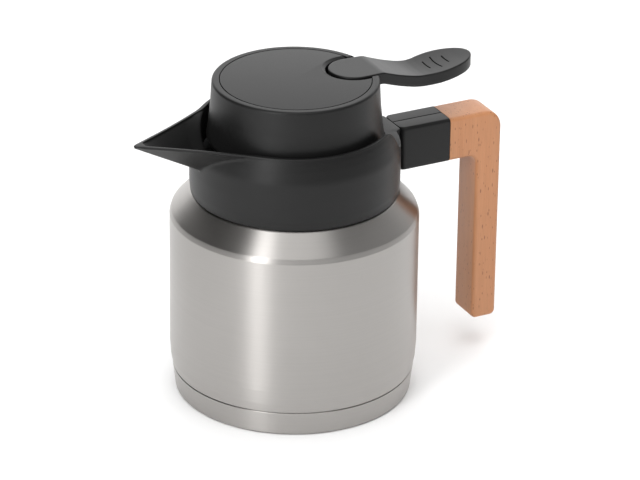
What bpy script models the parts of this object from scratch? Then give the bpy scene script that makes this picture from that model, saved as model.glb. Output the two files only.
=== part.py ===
"""Insulated coffee pot with a screw lid, a thumb lever valve and a wooden grip.

All sizes are in millimetres and are turned to metres as each mesh is made.
The origin is the centre of the base on the surface it stands on.  +Z is up,
the handle points along +X and the spout along -X.
"""

import math

import bmesh
import bpy
from mathutils import Matrix, Vector

MM = 0.001

# ---------------------------------------------------------------- main sizes
BODY_R = 65.0             # steel body, outside
SHOULDER_Z = 101.0        # where the straight wall ends
NECK_SEAT_R = 54.3        # flat top of the shoulder, outer edge
NECK_SEAT_Z = 112.3
BASE_R = 62.2             # edge the pot stands on
SEAM_R = 63.6             # seam between base cup and outer shell
SEAM_Z = 13.1
STEEL = 0.7               # sheet thickness
BASE_STEEL = 0.8          # sheet thickness of the base cup
FOOT_RING_R = 55.0        # inner edge of the ring the pot stands on
BASE_RECESS = 2.0         # height of the recess inside the foot ring
BASE_PAD_R = 23.0         # level pad in the middle of the base
GAP = 0.3                 # clearance between touching pieces
SEGMENTS = 32             # facets round a turned piece

MOUTH_R = 39.9            # flask neck, inside
MOUTH_Z = 119.2
COLLAR_R = 54.5           # collar wall, outside
LEDGE_Z = 138.5           # top of collar at the handle, and top of the arm
RIM_R = 50.7              # pouring rim, outside
RIM_Z = 151.3
COLLAR_BORE_R = 48.0      # inside the collar above the thread
THREAD_BORE_R = 42.1
SEAT_BORE_R = 40.4

BEAK_TIP_X = -91.0
BEAK_APEX_X = -94.1       # where the two rim edges of the beak would meet
BEAK_SLOPE = 0.639        # half width gained per millimetre from the apex
BEAK_KEEL_TIP = (-88.5, 150.9)
BEAK_KEEL_ROOT = (-54.4, 132.8)
BEAK_RIM_TIP_Z = 153.6
BEAK_SAG = 1.5            # inward curve of the beak's edges
BEAK_WALL = 1.8

ARM_WIDTH = 20.3
ARM_TOP_Z = LEDGE_Z
ARM_BOTTOM_Z = 114.2
ARM_START_X = 57.0        # line where the arm covers meet the collar
ARM_END_X = 85.8          # joint between arm and wood
ARM_EDGE_R = 2.0
GRIP_INNER_X = 102.5
GRIP_OUTER_X = 117.0
GRIP_BOTTOM_Z = 17.5
GRIP_CORNER_R = 10.0
GRIP_FILLET_R = 5.0
BOLT_Z = 0.5 * (ARM_TOP_Z + ARM_BOTTOM_Z)
ARM_SCREW_X = 64.5
ARM_SCREW_Z = (122.0, 130.5)
DOWEL_Z = (118.0, 134.7)

LID_TOP_Z = 173.7
LID_TOP_R = 43.2
LID_SKIRT_R = 46.0
LID_SKIRT_Z = 143.0
LID_WALL = 1.8
PANEL_R = 39.3            # seam circle of the top panel
DECK_Z = 141.5            # top of the stopper
DECK_THICKNESS = 2.0
WEB_Z = 141.8             # underside of the lid shell's web

LID_SCREWS = 3
LID_SCREW_RING_R = 34.0
LID_SCREW_ANGLE = 66.0

THREAD_LEAD = 20.0        # rise per turn
THREAD_STARTS = 3
THREAD_ARC = 60.0         # degrees of each thread ridge
THREAD_R = 1.3            # half thickness of a ridge
COLLAR_RIDGE_R = 41.3
COLLAR_RIDGE_Z = 126.9
STOPPER_RIDGE_R = 40.3
STOPPER_RIDGE_DROP = 3.1  # stopper ridges lie this far below the collar's
STOPPER_R = 39.4
WINDOWS = 6               # pouring windows round the stopper
WINDOW_HALF = 12.0
WINDOW_Z = (131.4, 138.2)

PIVOT_X = 33.0
PIVOT_Z = 163.0
PIN_R = 2.0
PIN_BORE_R = 2.1
LUG_CROWN_R = 3.3         # rounded top of the lugs that hold the pin
LUG_Y = (8.7, 11.9)       # inner and outer faces of a lug
LEVER_END_R = 12.9
LEVER_TIP_X = 101.4
LEVER_HEIGHT = 6.3
LEVER_WALL = 1.8
THUMB_GROOVES = ((76.2, 4.6), (81.8, 7.0), (87.2, 4.3))  # place and half length
CUTOUT_R = 14.4           # opening in the lid round the lever's end
CHAMFER = 1.8

STEM_R = 2.6
SEAT_R = 10.0
SEAT_Z = 119.0
DISC_TOP_Z = 123.3
GUIDE_FOOT_Z = 137.7      # where the spring rests under the stem guide
SPRING_R = 5.6            # to the middle of the wire
SPRING_WIRE_R = 0.5
SPRING_TURNS = 5


# ------------------------------------------------------------------ helpers
def collection(name):
    """Return a new collection linked to the scene."""
    made = bpy.data.collections.new(name)
    bpy.context.scene.collection.children.link(made)
    return made


def material(name, red, green, blue, roughness, metallic=0.0):
    """Principled material from linear colour values."""
    made = bpy.data.materials.new(name)
    made.use_nodes = True
    made.diffuse_color = (red, green, blue, 1.0)
    shader = made.node_tree.nodes["Principled BSDF"]
    shader.inputs["Base Color"].default_value = (red, green, blue, 1.0)
    shader.inputs["Roughness"].default_value = roughness
    shader.inputs["Metallic"].default_value = metallic
    return made


def arc(centre, radius, start, end, steps):
    """Points on an arc, angles in degrees."""
    points = []
    for i in range(steps + 1):
        angle = math.radians(start + (end - start) * i / steps)
        points.append((centre[0] + radius * math.cos(angle), centre[1] + radius * math.sin(angle)))
    return points


def add_mesh_object(name, mesh, where):
    """Link a mesh as a named object."""
    made = bpy.data.objects.new(name, mesh)
    where.objects.link(made)
    return made


def mark_cutter(item):
    """Show a tool body as wire only and keep it out of renders."""
    item.hide_render = True
    item.display_type = "WIRE"
    return item


def smooth(item, degrees=35.0):
    """Smooth shading with sharp edges above an angle."""
    item.data.shade_smooth()
    item.data.set_sharp_from_angle(angle=math.radians(degrees))


def turned(name, outline, where, segments=SEGMENTS):
    """Solid of revolution about Z; the outline runs down its outer side, and has no edge along the axis."""
    mesh = bpy.data.meshes.new(name)
    vertices = [(r * MM, 0.0, z * MM) for r, z in outline]
    edges = []
    for i in range(len(outline)):
        j = (i + 1) % len(outline)
        if outline[i][0] > 0.0 or outline[j][0] > 0.0:
            edges.append((i, j))
    mesh.from_pydata(vertices, edges, [])
    item = add_mesh_object(name, mesh, where)
    screw = item.modifiers.new("Turn", "SCREW")
    screw.axis = "Z"
    screw.angle = math.tau
    screw.steps = segments
    screw.render_steps = segments
    screw.use_merge_vertices = True
    screw.merge_threshold = 0.00001
    screw.use_smooth_shade = True
    return item


def turned_at(name, outline, where, x, y, segments=16):
    """Solid of revolution about an upright line through (x, y)."""
    item = turned(name, outline, where, segments)
    item.location = (x * MM, y * MM, 0.0)
    return item


def as_mesh(item, where):
    """Replace an object by its evaluated mesh, with its place kept."""
    bpy.context.view_layer.update()
    graph = bpy.context.evaluated_depsgraph_get()
    mesh = bpy.data.meshes.new_from_object(item.evaluated_get(graph))
    name = item.name
    place = item.matrix_world.copy()
    bpy.data.objects.remove(item)
    work = bmesh.new()
    work.from_mesh(mesh)
    bmesh.ops.remove_doubles(work, verts=work.verts, dist=0.00001)
    bmesh.ops.recalc_face_normals(work, faces=work.faces)
    work.to_mesh(mesh)
    work.free()
    mesh.name = name
    made = add_mesh_object(name, mesh, where)
    made.matrix_world = place
    return made


def plate(name, outline, axis, low, high, where):
    """Flat outline pushed out along an axis from low to high.

    The outline is in XY for axis Z, in XZ for axis Y and in YZ for axis X.
    """
    curve = bpy.data.curves.new(name, "CURVE")
    curve.dimensions = "2D"
    curve.fill_mode = "BOTH"
    curve.extrude = 0.5 * (high - low) * MM
    spline = curve.splines.new("POLY")
    spline.points.add(len(outline) - 1)
    for point, (u, v) in zip(spline.points, outline):
        point.co = (u * MM, v * MM, 0.0, 1.0)
    spline.use_cyclic_u = True
    item = bpy.data.objects.new(name, curve)
    where.objects.link(item)
    middle = 0.5 * (low + high) * MM
    if axis == "Z":
        item.location = (0.0, 0.0, middle)
    elif axis == "Y":
        item.rotation_euler = (math.radians(90.0), 0.0, 0.0)
        item.location = (0.0, middle, 0.0)
    else:
        item.rotation_euler = (math.radians(90.0), 0.0, math.radians(90.0))
        item.location = (middle, 0.0, 0.0)
    return as_mesh(item, where)


def box(name, low, high, where):
    """Rectangular block between two corners."""
    bpy.ops.mesh.primitive_cube_add(size=1.0)
    item = bpy.context.object
    item.name = name
    size = [(b - a) * MM for a, b in zip(low, high)]
    centre = [0.5 * (a + b) * MM for a, b in zip(low, high)]
    item.data.transform(Matrix.Diagonal((*size, 1.0)))
    item.location = centre
    move_to(item, where)
    return item


def rod(name, start, end, radius, where, segments=16):
    """Cylinder from start to end."""
    a = Vector(start) * MM
    b = Vector(end) * MM
    bpy.ops.mesh.primitive_cylinder_add(vertices=segments, radius=radius * MM, depth=(b - a).length)
    item = bpy.context.object
    item.name = name
    item.rotation_mode = "QUATERNION"
    item.rotation_quaternion = (b - a).to_track_quat("Z", "Y")
    item.location = 0.5 * (a + b)
    move_to(item, where)
    return item


def move_to(item, where):
    """Put an object in one collection only."""
    for old in list(item.users_collection):
        old.objects.unlink(item)
    where.objects.link(item)


def helix(name, radius, z_start, degrees_start, degrees, lead, thickness, where, step=12.0, sides=2):
    """Round rod along a helix, used for thread ridges and the spring."""
    curve = bpy.data.curves.new(name, "CURVE")
    curve.dimensions = "3D"
    curve.bevel_depth = thickness * MM
    curve.bevel_resolution = sides
    curve.use_fill_caps = True
    spline = curve.splines.new("POLY")
    count = int(round(degrees / step)) + 1
    spline.points.add(count - 1)
    for i in range(count):
        turn = degrees * i / (count - 1)
        angle = math.radians(degrees_start + turn)
        height = z_start + lead * turn / 360.0
        place = Vector((radius * math.cos(angle), radius * math.sin(angle), height)) * MM
        spline.points[i].co = (*place, 1.0)
    item = bpy.data.objects.new(name, curve)
    where.objects.link(item)
    return as_mesh(item, where)


def thread_ridge(name, number, radius, z, where):
    """One start of the right-handed thread."""
    start = 360.0 * number / THREAD_STARTS
    return helix(name, radius, z, start, THREAD_ARC, THREAD_LEAD, THREAD_R, where)


def combine(item, tool, operation="DIFFERENCE"):
    """Boolean of an object with a tool body."""
    change = item.modifiers.new(operation.title(), "BOOLEAN")
    change.operation = operation
    change.solver = "EXACT"
    change.object = tool
    mark_cutter(tool)


def finish(item, finish_material):
    """Give a finished piece its material and shading."""
    item.data.materials.clear()
    item.data.materials.append(finish_material)
    smooth(item)
    return item


def loft(name, sections, where):
    """Closed skin over point rings of equal length; used for the beak only."""
    mesh = bpy.data.meshes.new(name)
    work = bmesh.new()
    rings = []
    for section in sections:
        rings.append([work.verts.new(Vector(point) * MM) for point in section])
    for first, second in zip(rings, rings[1:]):
        for i in range(len(first)):
            j = (i + 1) % len(first)
            work.faces.new((first[i], first[j], second[j], second[i]))
    work.faces.new(rings[0])
    work.faces.new(list(reversed(rings[-1])))
    bmesh.ops.recalc_face_normals(work, faces=work.faces)
    work.to_mesh(mesh)
    work.free()
    return add_mesh_object(name, mesh, where)


def pivot(name, x, z, where):
    """Empty on a joint's axis, parent of what moves there."""
    item = bpy.data.objects.new(name, None)
    item.empty_display_size = 0.02
    item.location = (x * MM, 0.0, z * MM)
    where.objects.link(item)
    return item


def ride_on(items, axis_empty):
    """Parent pieces to a joint's empty without moving them."""
    bpy.context.view_layer.update()
    for item in items:
        item.parent = axis_empty
        item.matrix_parent_inverse = axis_empty.matrix_world.inverted()


# -------------------------------------------------------------- steel flask
def make_outer_shell(parts):
    """Outer wall: slightly tucked foot, straight wall, cone, flat seat and neck."""
    outer_neck = 41.5
    inner_neck = outer_neck - STEEL
    outline = [
        (outer_neck, MOUTH_Z),
        (outer_neck, NECK_SEAT_Z + 0.6),
        (outer_neck + 0.8, NECK_SEAT_Z),
        (NECK_SEAT_R, NECK_SEAT_Z),
        (BODY_R - 0.8, SHOULDER_Z + 0.6),
        (BODY_R, SHOULDER_Z - 1.0),
        (BODY_R, 24.0),
        (BODY_R - 0.5, 18.5),
        (SEAM_R, SEAM_Z + GAP),
        (SEAM_R - STEEL, SEAM_Z + GAP),
        (BODY_R - 0.5 - STEEL, 18.5),
        (BODY_R - STEEL, 24.0),
        (BODY_R - STEEL, SHOULDER_Z - 1.3),
        (BODY_R - 1.2, SHOULDER_Z),
        (NECK_SEAT_R - 0.3, NECK_SEAT_Z - STEEL),
        (inner_neck, NECK_SEAT_Z - STEEL),
        (inner_neck, MOUTH_Z),
    ]
    return turned("outer_shell", outline, parts)


def make_inner_flask(parts):
    """Steel liner that holds the coffee, with its neck inside the outer one."""
    wall_r = 61.2
    floor_z = 7.8
    corner = 8.0
    neck_r = MOUTH_R + 0.6
    outline = [(neck_r, MOUTH_Z), (neck_r, 107.0), (wall_r, 96.0), (wall_r, floor_z + corner)]
    outline += arc((wall_r - corner, floor_z + corner), corner, -30.0, -90.0, 2)
    outline += [(0.0, floor_z), (0.0, floor_z + 0.6)]
    outline += arc((wall_r - corner, floor_z + corner), corner - 0.6, -90.0, 0.0, 3)
    outline += [(wall_r - 0.6, 95.7), (MOUTH_R, 106.6), (MOUTH_R, MOUTH_Z)]
    return turned("inner_flask", outline, parts)


def make_outer_bottom(parts):
    """Closing disc of the outer wall with the dimple where air is drawn out."""
    outline = [
        (0.0, 5.3), (5.0, 5.3), (9.0, 6.1), (50.0, 6.1), (60.0, 6.6), (60.3, 11.8), (61.0, 11.8), (61.0, 6.0),
        (50.4, 5.4), (9.2, 5.4), (5.2, 4.6), (0.0, 4.6),
    ]
    return turned("outer_bottom", outline, parts)


def make_base_cup(parts):
    """Steel cup pressed over the bottom: a foot ring, a recess and a level pad in the middle."""
    recess_top = BASE_RECESS + BASE_STEEL
    outline = [
        (0.0, BASE_STEEL), (BASE_PAD_R - 0.7, BASE_STEEL), (BASE_PAD_R + 2.3, recess_top), (53.5, recess_top),
        (55.5, 0.9), (60.9, 0.9), (61.5, 1.8), (SEAM_R - BASE_STEEL, SEAM_Z), (SEAM_R, SEAM_Z),
        (BASE_R, 0.7), (BASE_R - 0.8, 0.0), (FOOT_RING_R, 0.0), (FOOT_RING_R - 2.0, BASE_RECESS),
        (BASE_PAD_R + 3.0, BASE_RECESS), (BASE_PAD_R, 0.0), (0.0, 0.0),
    ]
    return turned("base_cup", outline, parts)


def make_vacuum_seal(parts):
    """Solder bead that closes the evacuation hole."""
    return turned("vacuum_seal", [(0.0, 4.3), (3.0, 4.2), (3.8, 3.6), (3.2, 3.3), (0.0, 3.3)], parts, 16)


def make_getter(parts):
    """Getter tablet in the vacuum gap."""
    return turned_at("getter", [(0.0, 7.4), (4.5, 7.4), (4.5, 6.4), (0.0, 6.4)], parts, 24.0, 0.0)


# ------------------------------------------------------------------- collar
def beak_edge(x, wall=0.0):
    """Half width of the beak at its rim."""
    span = -27.3 - BEAK_TIP_X
    along = min(max((x - BEAK_TIP_X) / span, 0.0), 1.0)
    straight = BEAK_SLOPE * (x - BEAK_APEX_X)
    return max(straight - BEAK_SAG * math.sin(math.pi * along) - wall * 1.2, 0.35)


def beak_keel(x):
    """Height of the beak's lowest line."""
    rise = (BEAK_KEEL_TIP[1] - BEAK_KEEL_ROOT[1]) / (BEAK_KEEL_TIP[0] - BEAK_KEEL_ROOT[0])
    return BEAK_KEEL_ROOT[1] + rise * (x - BEAK_KEEL_ROOT[0])


def beak_rim(x):
    """Height of the beak's rim, a little higher at the tip."""
    along = min(max((x - BEAK_TIP_X) / 50.0, 0.0), 1.0)
    return BEAK_RIM_TIP_Z + (RIM_Z - BEAK_RIM_TIP_Z) * along


def beak_section(x, width, keel, top):
    """Ring of points: a V with a rounded foot and a flat top."""
    foot = min(0.35 * width, 2.2)
    depth = top - keel
    lift = depth * foot / width
    ring = [(x, width, top)]
    ring.append((x, 0.55 * width + 0.45 * foot, keel + 0.55 * depth + 0.2 * lift))
    ring.append((x, foot, keel + lift))
    ring.append((x, 0.0, keel + 0.45 * lift))
    ring += [(x, -y, z) for _, y, z in reversed(ring[:3])]
    return ring


def make_beak(name, tools, wall, top_extra, end_x, floor_z):
    """Beak body; a wall above zero makes the hollow inside it."""
    first_x = BEAK_TIP_X + (3.0 * wall if wall else 0.0)
    stations = [first_x, first_x + 1.2, first_x + 3.5, -80.0, -72.0, -64.0, -56.0, -50.0, -44.0, -38.0, end_x]
    sections = []
    for x in stations:
        width = beak_edge(x, wall)
        top = beak_rim(x) + top_extra
        keel = max(beak_keel(x) + 1.5 * wall, floor_z)
        keel = min(keel, beak_rim(x) - 1.2)
        sections.append(beak_section(x, width, keel, top))
    return loft(name, sections, tools)


def make_collar(parts, tools):
    """Neck collar with beak, sunken ledge at the handle, handle root and tongue."""
    outer = [
        (0.0, RIM_Z), (RIM_R - 0.7, RIM_Z), (RIM_R, RIM_Z - 0.7), (53.6, 142.0), (COLLAR_R, LEDGE_Z),
        (COLLAR_R + 0.3, 128.0), (COLLAR_R + 0.2, 118.0), (COLLAR_R - 0.2, NECK_SEAT_Z + GAP),
        (0.0, NECK_SEAT_Z + GAP),
    ]
    collar = turned("spout_collar", outer, parts)
    combine(collar, make_beak("beak_body", tools, 0.0, 0.0, -32.0, 0.0), "UNION")
    root = rounded_bar("handle_root", 46.0, ARM_START_X - GAP, tools)
    combine(collar, root, "UNION")
    combine(collar, make_root_web(tools), "UNION")
    tongue = box("tongue", (50.0, -5.0, 118.6), (72.0, 5.0, 134.0), tools)
    combine(collar, tongue, "UNION")
    mouth = [
        (0.0, 170.0), (RIM_R - 1.8, 170.0), (RIM_R - 1.8, RIM_Z), (COLLAR_BORE_R, LEDGE_Z),
        (COLLAR_BORE_R, 134.0), (THREAD_BORE_R, 132.0), (THREAD_BORE_R, 122.4), (SEAT_BORE_R, 122.4),
        (SEAT_BORE_R, 121.0), (44.4, 121.0), (44.4, 110.0), (0.0, 110.0),
    ]
    combine(collar, mark_cutter(turned("mouth", mouth, tools)))
    coring = [(52.2, 128.0), (52.2, 110.0), (46.6, 110.0), (46.6, 128.0)]
    combine(collar, mark_cutter(turned("coring", coring, tools)))
    combine(collar, make_beak("beak_hollow", tools, BEAK_WALL, 6.0, -32.0, 135.6))
    combine(collar, make_rim_notch(tools))
    for i, z in enumerate(ARM_SCREW_Z):
        hole = rod("screw_way_%d" % i, (ARM_SCREW_X, -8.0, z), (ARM_SCREW_X, 8.0, z), 1.8, tools, 12)
        combine(collar, hole)
    for i in range(THREAD_STARTS):
        combine(collar, thread_ridge("collar_ridge_%d" % i, i, COLLAR_RIDGE_R, COLLAR_RIDGE_Z, tools), "UNION")
    return collar


def make_root_web(tools):
    """Small fillets where the arm's root leaves the round collar."""
    spread = 0.5 * ARM_WIDTH + 3.2
    half = 0.5 * ARM_WIDTH - 0.1
    outline = [(48.0, -spread - 1.5), (52.6, -spread), (53.9, -half - 1.0), (56.0, -half), (56.0, half)]
    outline += [(53.9, half + 1.0), (52.6, spread), (48.0, spread + 1.5)]
    return plate("root_web", outline, "Z", ARM_BOTTOM_Z + 1.0, ARM_TOP_Z - 0.4, tools)


def make_rim_notch(tools):
    """Cutter that steps the rim down to the ledge near the handle."""
    half = [(27.0, LEDGE_Z), (30.5, 139.4), (32.8, 142.4), (34.8, 146.6), (37.0, 149.6), (41.0, RIM_Z + 1.0)]
    outline = [(-y, z) for y, z in reversed(half)] + half + [(41.0, 160.0), (-41.0, 160.0)]
    return plate("rim_notch", outline, "X", 14.0, 62.0, tools)


def rounded_bar(name, start_x, end_x, where):
    """Arm section along X with rounded edges."""
    half = 0.5 * ARM_WIDTH
    corner = ARM_EDGE_R
    outline = arc((half - corner, ARM_TOP_Z - corner), corner, 0.0, 90.0, 3)
    outline += arc((-half + corner, ARM_TOP_Z - corner), corner, 90.0, 180.0, 3)
    outline += arc((-half + corner, ARM_BOTTOM_Z + corner), corner, 180.0, 270.0, 3)
    outline += arc((half - corner, ARM_BOTTOM_Z + corner), corner, 270.0, 360.0, 3)
    return plate(name, outline, "X", start_x, end_x, where)


def make_neck_seal(parts):
    """Silicone ring between the flask mouth and the collar."""
    outline = [(44.0, 120.7), (44.0, 119.5), (SEAT_BORE_R + 0.3, 119.5), (SEAT_BORE_R + 0.3, 120.7)]
    return turned("neck_seal", outline, parts)


def make_lock_ring(parts):
    """Nylon ring that grips the steel neck inside the collar."""
    outline = [(44.1, 118.9), (44.1, 113.6), (43.2, 112.7), (41.8, 112.9), (41.8, 118.9)]
    return turned("collar_lock_ring", outline, parts)


# ------------------------------------------------------------ arm and grip
def make_arm_half(name, side, parts, tools):
    """One of the two half covers of the arm; side is -1 or +1 along Y."""
    half = 0.5 * ARM_WIDTH
    corner = ARM_EDGE_R
    inner = 0.5 * GAP
    outline = [(inner, ARM_BOTTOM_Z)]
    outline += arc((half - corner, ARM_BOTTOM_Z + corner), corner, 270.0, 360.0, 3)
    outline += arc((half - corner, ARM_TOP_Z - corner), corner, 0.0, 90.0, 3)
    outline += [(inner, ARM_TOP_Z)]
    outline = [(side * y, z) for y, z in outline]
    cover = plate(name, outline, "X", ARM_START_X, ARM_END_X, parts)
    pocket = box(name + "_pocket", (50.0, -5.3, 118.3), (72.3, 5.3, 134.3), tools)
    combine(cover, pocket)
    shank = rod(name + "_shank_way", (76.0, 0.0, BOLT_Z), (90.0, 0.0, BOLT_Z), 2.8, tools)
    combine(cover, shank)
    head = rod(name + "_head_way", (72.0, 0.0, BOLT_Z), (77.4, 0.0, BOLT_Z), 4.9, tools)
    combine(cover, head)
    for i, z in enumerate(DOWEL_Z):
        dowel = rod("%s_dowel_way_%d" % (name, i), (79.0, 0.0, z), (90.0, 0.0, z), 1.8, tools, 12)
        combine(cover, dowel)
    for i, z in enumerate(ARM_SCREW_Z):
        way = rod("%s_screw_way_%d" % (name, i), (ARM_SCREW_X, -8.2, z), (ARM_SCREW_X, 14.0, z), 1.8, tools, 12)
        combine(cover, way)
        seat_name = "%s_screw_seat_%d" % (name, i)
        seat = rod(seat_name, (ARM_SCREW_X, 7.4, z), (ARM_SCREW_X, 14.0, z), 3.3, tools, 12)
        combine(cover, seat)
    return cover


def make_arm_screw(name, z, parts):
    """Pan head screw through the far half and the tongue into the near half."""
    outline = [(0.0, 9.7), (2.2, 9.7), (3.0, 9.0), (3.0, 7.7), (1.5, 7.7), (1.5, -7.2), (0.8, -7.9)]
    outline.append((0.0, -7.9))
    item = turned(name, outline, parts, 12)
    item.rotation_euler = (math.radians(-90.0), 0.0, 0.0)
    item.location = (ARM_SCREW_X * MM, 0.0, z * MM)
    return item


def make_grip(parts, tools):
    """L-shaped beech grip with blind bores for the insert and the dowels."""
    start = ARM_END_X + GAP
    fillet = (GRIP_INNER_X - GRIP_FILLET_R, ARM_BOTTOM_Z - GRIP_FILLET_R)
    corner = (GRIP_OUTER_X - GRIP_CORNER_R, ARM_TOP_Z - GRIP_CORNER_R)
    foot = 2.5
    outline = [(start, ARM_TOP_Z)]
    outline += arc(corner, GRIP_CORNER_R, 90.0, 0.0, 6)
    outline += arc((GRIP_OUTER_X - foot, GRIP_BOTTOM_Z + foot), foot, 0.0, -90.0, 2)
    outline += arc((GRIP_INNER_X + foot, GRIP_BOTTOM_Z + foot), foot, 270.0, 180.0, 2)
    outline += arc(fillet, GRIP_FILLET_R, 0.0, 90.0, 4)
    outline += [(start, ARM_BOTTOM_Z)]
    half = 0.5 * ARM_WIDTH
    grip = plate("wooden_grip", outline, "Y", -half, half, parts)
    section = rounded_grip_envelope(tools)
    combine(grip, section, "INTERSECT")
    bore = rod("insert_bore", (80.0, 0.0, BOLT_Z), (100.5, 0.0, BOLT_Z), 4.6, tools)
    combine(grip, bore)
    for i, z in enumerate(DOWEL_Z):
        dowel = rod("grip_dowel_way_%d" % i, (80.0, 0.0, z), (93.0, 0.0, z), 1.8, tools, 12)
        combine(grip, dowel)
    return grip


def rounded_grip_envelope(tools):
    """Flat slab with chamfered long edges that softens the grip's side edges."""
    half = 0.5 * ARM_WIDTH
    soft = 1.6
    outline = [(80.0, -half), (GRIP_OUTER_X - soft, -half), (GRIP_OUTER_X, -half + soft)]
    outline += [(GRIP_OUTER_X, half - soft), (GRIP_OUTER_X - soft, half), (80.0, half)]
    return plate("grip_envelope", outline, "Z", 10.0, 145.0, tools)


def make_grip_bolt(parts):
    """Cap bolt from the arm into the insert, turned about X."""
    outline = [(0.0, 98.0), (1.6, 98.0), (2.3, 97.2), (2.3, 77.1), (4.4, 77.1), (4.4, 73.2), (0.0, 73.2)]
    item = turned("grip_bolt", outline, parts, 16)
    item.rotation_euler = (0.0, math.radians(90.0), 0.0)
    item.location = (0.0, 0.0, BOLT_Z * MM)
    return item


def make_grip_insert(parts):
    """Threaded brass sleeve in the wood, turned about X."""
    outline = [(4.3, 100.0), (4.3, 87.2), (2.6, 87.2), (2.6, 100.0)]
    item = turned("grip_insert", outline, parts, 16)
    item.rotation_euler = (0.0, math.radians(90.0), 0.0)
    item.location = (0.0, 0.0, BOLT_Z * MM)
    return item


def make_grip_dowel(name, z, parts):
    """Steel pin that stops the grip from twisting."""
    return rod(name, (79.4, 0.0, z), (92.6, 0.0, z), 1.5, parts, 12)


# --------------------------------------------------------------------- lid
def lid_screw_place(number):
    """Place of one lid screw in plan."""
    angle = math.radians(LID_SCREW_ANGLE + 360.0 * number / LID_SCREWS)
    return (LID_SCREW_RING_R * math.cos(angle), LID_SCREW_RING_R * math.sin(angle))


def lever_way(name, radius, low, high, tools):
    """Slot shape open towards the handle, round at the lever's inner end."""
    outline = arc((PIVOT_X, 0.0), radius, 90.0, 270.0, 12)
    outline += [(60.0, -radius), (60.0, radius)]
    return plate(name, outline, "Z", low, high, tools)


def make_lid_shell(parts, tools):
    """Tapered skirt with the edge ring on top, a web below and two pin lugs."""
    top_inner = LID_TOP_R - LID_WALL
    outline = [
        (LID_TOP_R - 1.0, LID_TOP_Z), (LID_TOP_R, LID_TOP_Z - 1.0), (44.0, 160.0), (45.1, 149.0),
        (LID_SKIRT_R, LID_SKIRT_Z + 0.6), (LID_SKIRT_R - 0.4, LID_SKIRT_Z), (44.6, WEB_Z), (30.0, WEB_Z),
        (30.0, WEB_Z + 2.0), (43.2, WEB_Z + 2.0), (43.3, 149.0), (42.2, 160.0), (top_inner, 169.0),
        (37.0, 169.0), (37.0, 170.7), (PANEL_R, 170.7), (PANEL_R, LID_TOP_Z),
    ]
    shell = turned("lid_shell", outline, parts)
    combine(shell, lever_way("edge_notch", 13.9, 164.6, 180.0, tools))
    lug = [(PIVOT_X + 4.5, WEB_Z + 1.0)] + arc((PIVOT_X, PIVOT_Z), LUG_CROWN_R, 0.0, 180.0, 6)
    lug.append((PIVOT_X - 4.5, WEB_Z + 1.0))
    for side in (-1, 1):
        low_y, high_y = sorted((side * LUG_Y[0], side * LUG_Y[1]))
        combine(shell, plate("lug_%d" % (side + 1), lug, "Y", low_y, high_y, tools), "UNION")
    bore = rod("pin_bore", (PIVOT_X, -11.2, PIVOT_Z), (PIVOT_X, 11.2, PIVOT_Z), PIN_R + 0.3, tools, 24)
    combine(shell, bore)
    for i in range(LID_SCREWS):
        x, y = lid_screw_place(i)
        hole = rod("lid_screw_way_%d" % i, (x, y, 135.0), (x, y, 150.0), 1.9, tools, 12)
        combine(shell, hole)
    return shell


def make_lid_panel(parts, tools):
    """Round top panel with the chamfered cut-out for the lever's end."""
    outline = [(0.0, LID_TOP_Z), (PANEL_R - GAP, LID_TOP_Z), (PANEL_R - GAP, 171.2), (0.0, 171.2)]
    panel = turned("lid_top_panel", outline, parts)
    combine(panel, lever_way("lever_cutout", CUTOUT_R, 160.0, 180.0, tools))
    combine(panel, lever_way("cutout_chamfer", CUTOUT_R + CHAMFER, LID_TOP_Z - 0.9, 180.0, tools))
    return panel


def make_stopper(parts, tools):
    """Threaded stopper: valve seat below, pouring windows above the thread."""
    deck_low = DECK_Z - DECK_THICKNESS
    outline = [
        (STOPPER_R, 138.0), (STOPPER_R, 120.2), (38.9, 118.9), (36.6, 118.9), (36.6, 114.9), (38.0, 114.6),
        (38.0, 113.4), (34.0, 113.4), (34.0, 116.4), (SEAT_R, 116.4), (SEAT_R, SEAT_Z), (14.0, SEAT_Z),
        (36.9, 120.6), (36.9, deck_low), (4.4, deck_low), (4.4, DECK_Z), (44.4, DECK_Z), (44.4, deck_low),
        (STOPPER_R, deck_low),
    ]
    stopper = turned("stopper_body", outline, parts)
    for i in range(THREAD_STARTS):
        z = COLLAR_RIDGE_Z - STOPPER_RIDGE_DROP
        combine(stopper, thread_ridge("stopper_ridge_%d" % i, i, STOPPER_RIDGE_R, z, tools), "UNION")
    for i in range(WINDOWS):
        turn = math.tau * i / WINDOWS
        low = (30.0, -WINDOW_HALF, WINDOW_Z[0])
        high = (43.0, WINDOW_HALF, WINDOW_Z[1])
        window = box("window_%d" % i, low, high, tools)
        window.rotation_euler = (0.0, 0.0, turn)
        window.location = Matrix.Rotation(turn, 3, "Z") @ window.location
        combine(stopper, window)
    for i in range(LID_SCREWS):
        x, y = lid_screw_place(i)
        hole = rod("deck_screw_way_%d" % i, (x, y, 136.0), (x, y, 145.0), 1.9, tools, 12)
        combine(stopper, hole)
    return stopper


def make_lid_screw(name, number, parts):
    """Screw through the lid shell's web into the stopper's deck."""
    outline = [(0.0, 146.2), (2.4, 146.2), (3.0, 145.6), (3.0, 144.1), (1.5, 144.1), (1.5, 139.0), (0.9, 138.4)]
    outline.append((0.0, 138.4))
    x, y = lid_screw_place(number)
    return turned_at(name, outline, parts, x, y, 12)


def make_lid_gasket(parts):
    """Silicone ring with two lips that seals the stopper in the flask neck."""
    outline = [(38.9, 118.4), (39.6, 117.8), (38.8, 116.8), (39.6, 115.8), (38.9, 115.2)]
    outline += [(36.9, 115.2), (36.9, 118.4)]
    return turned("lid_gasket", outline, parts)


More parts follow.
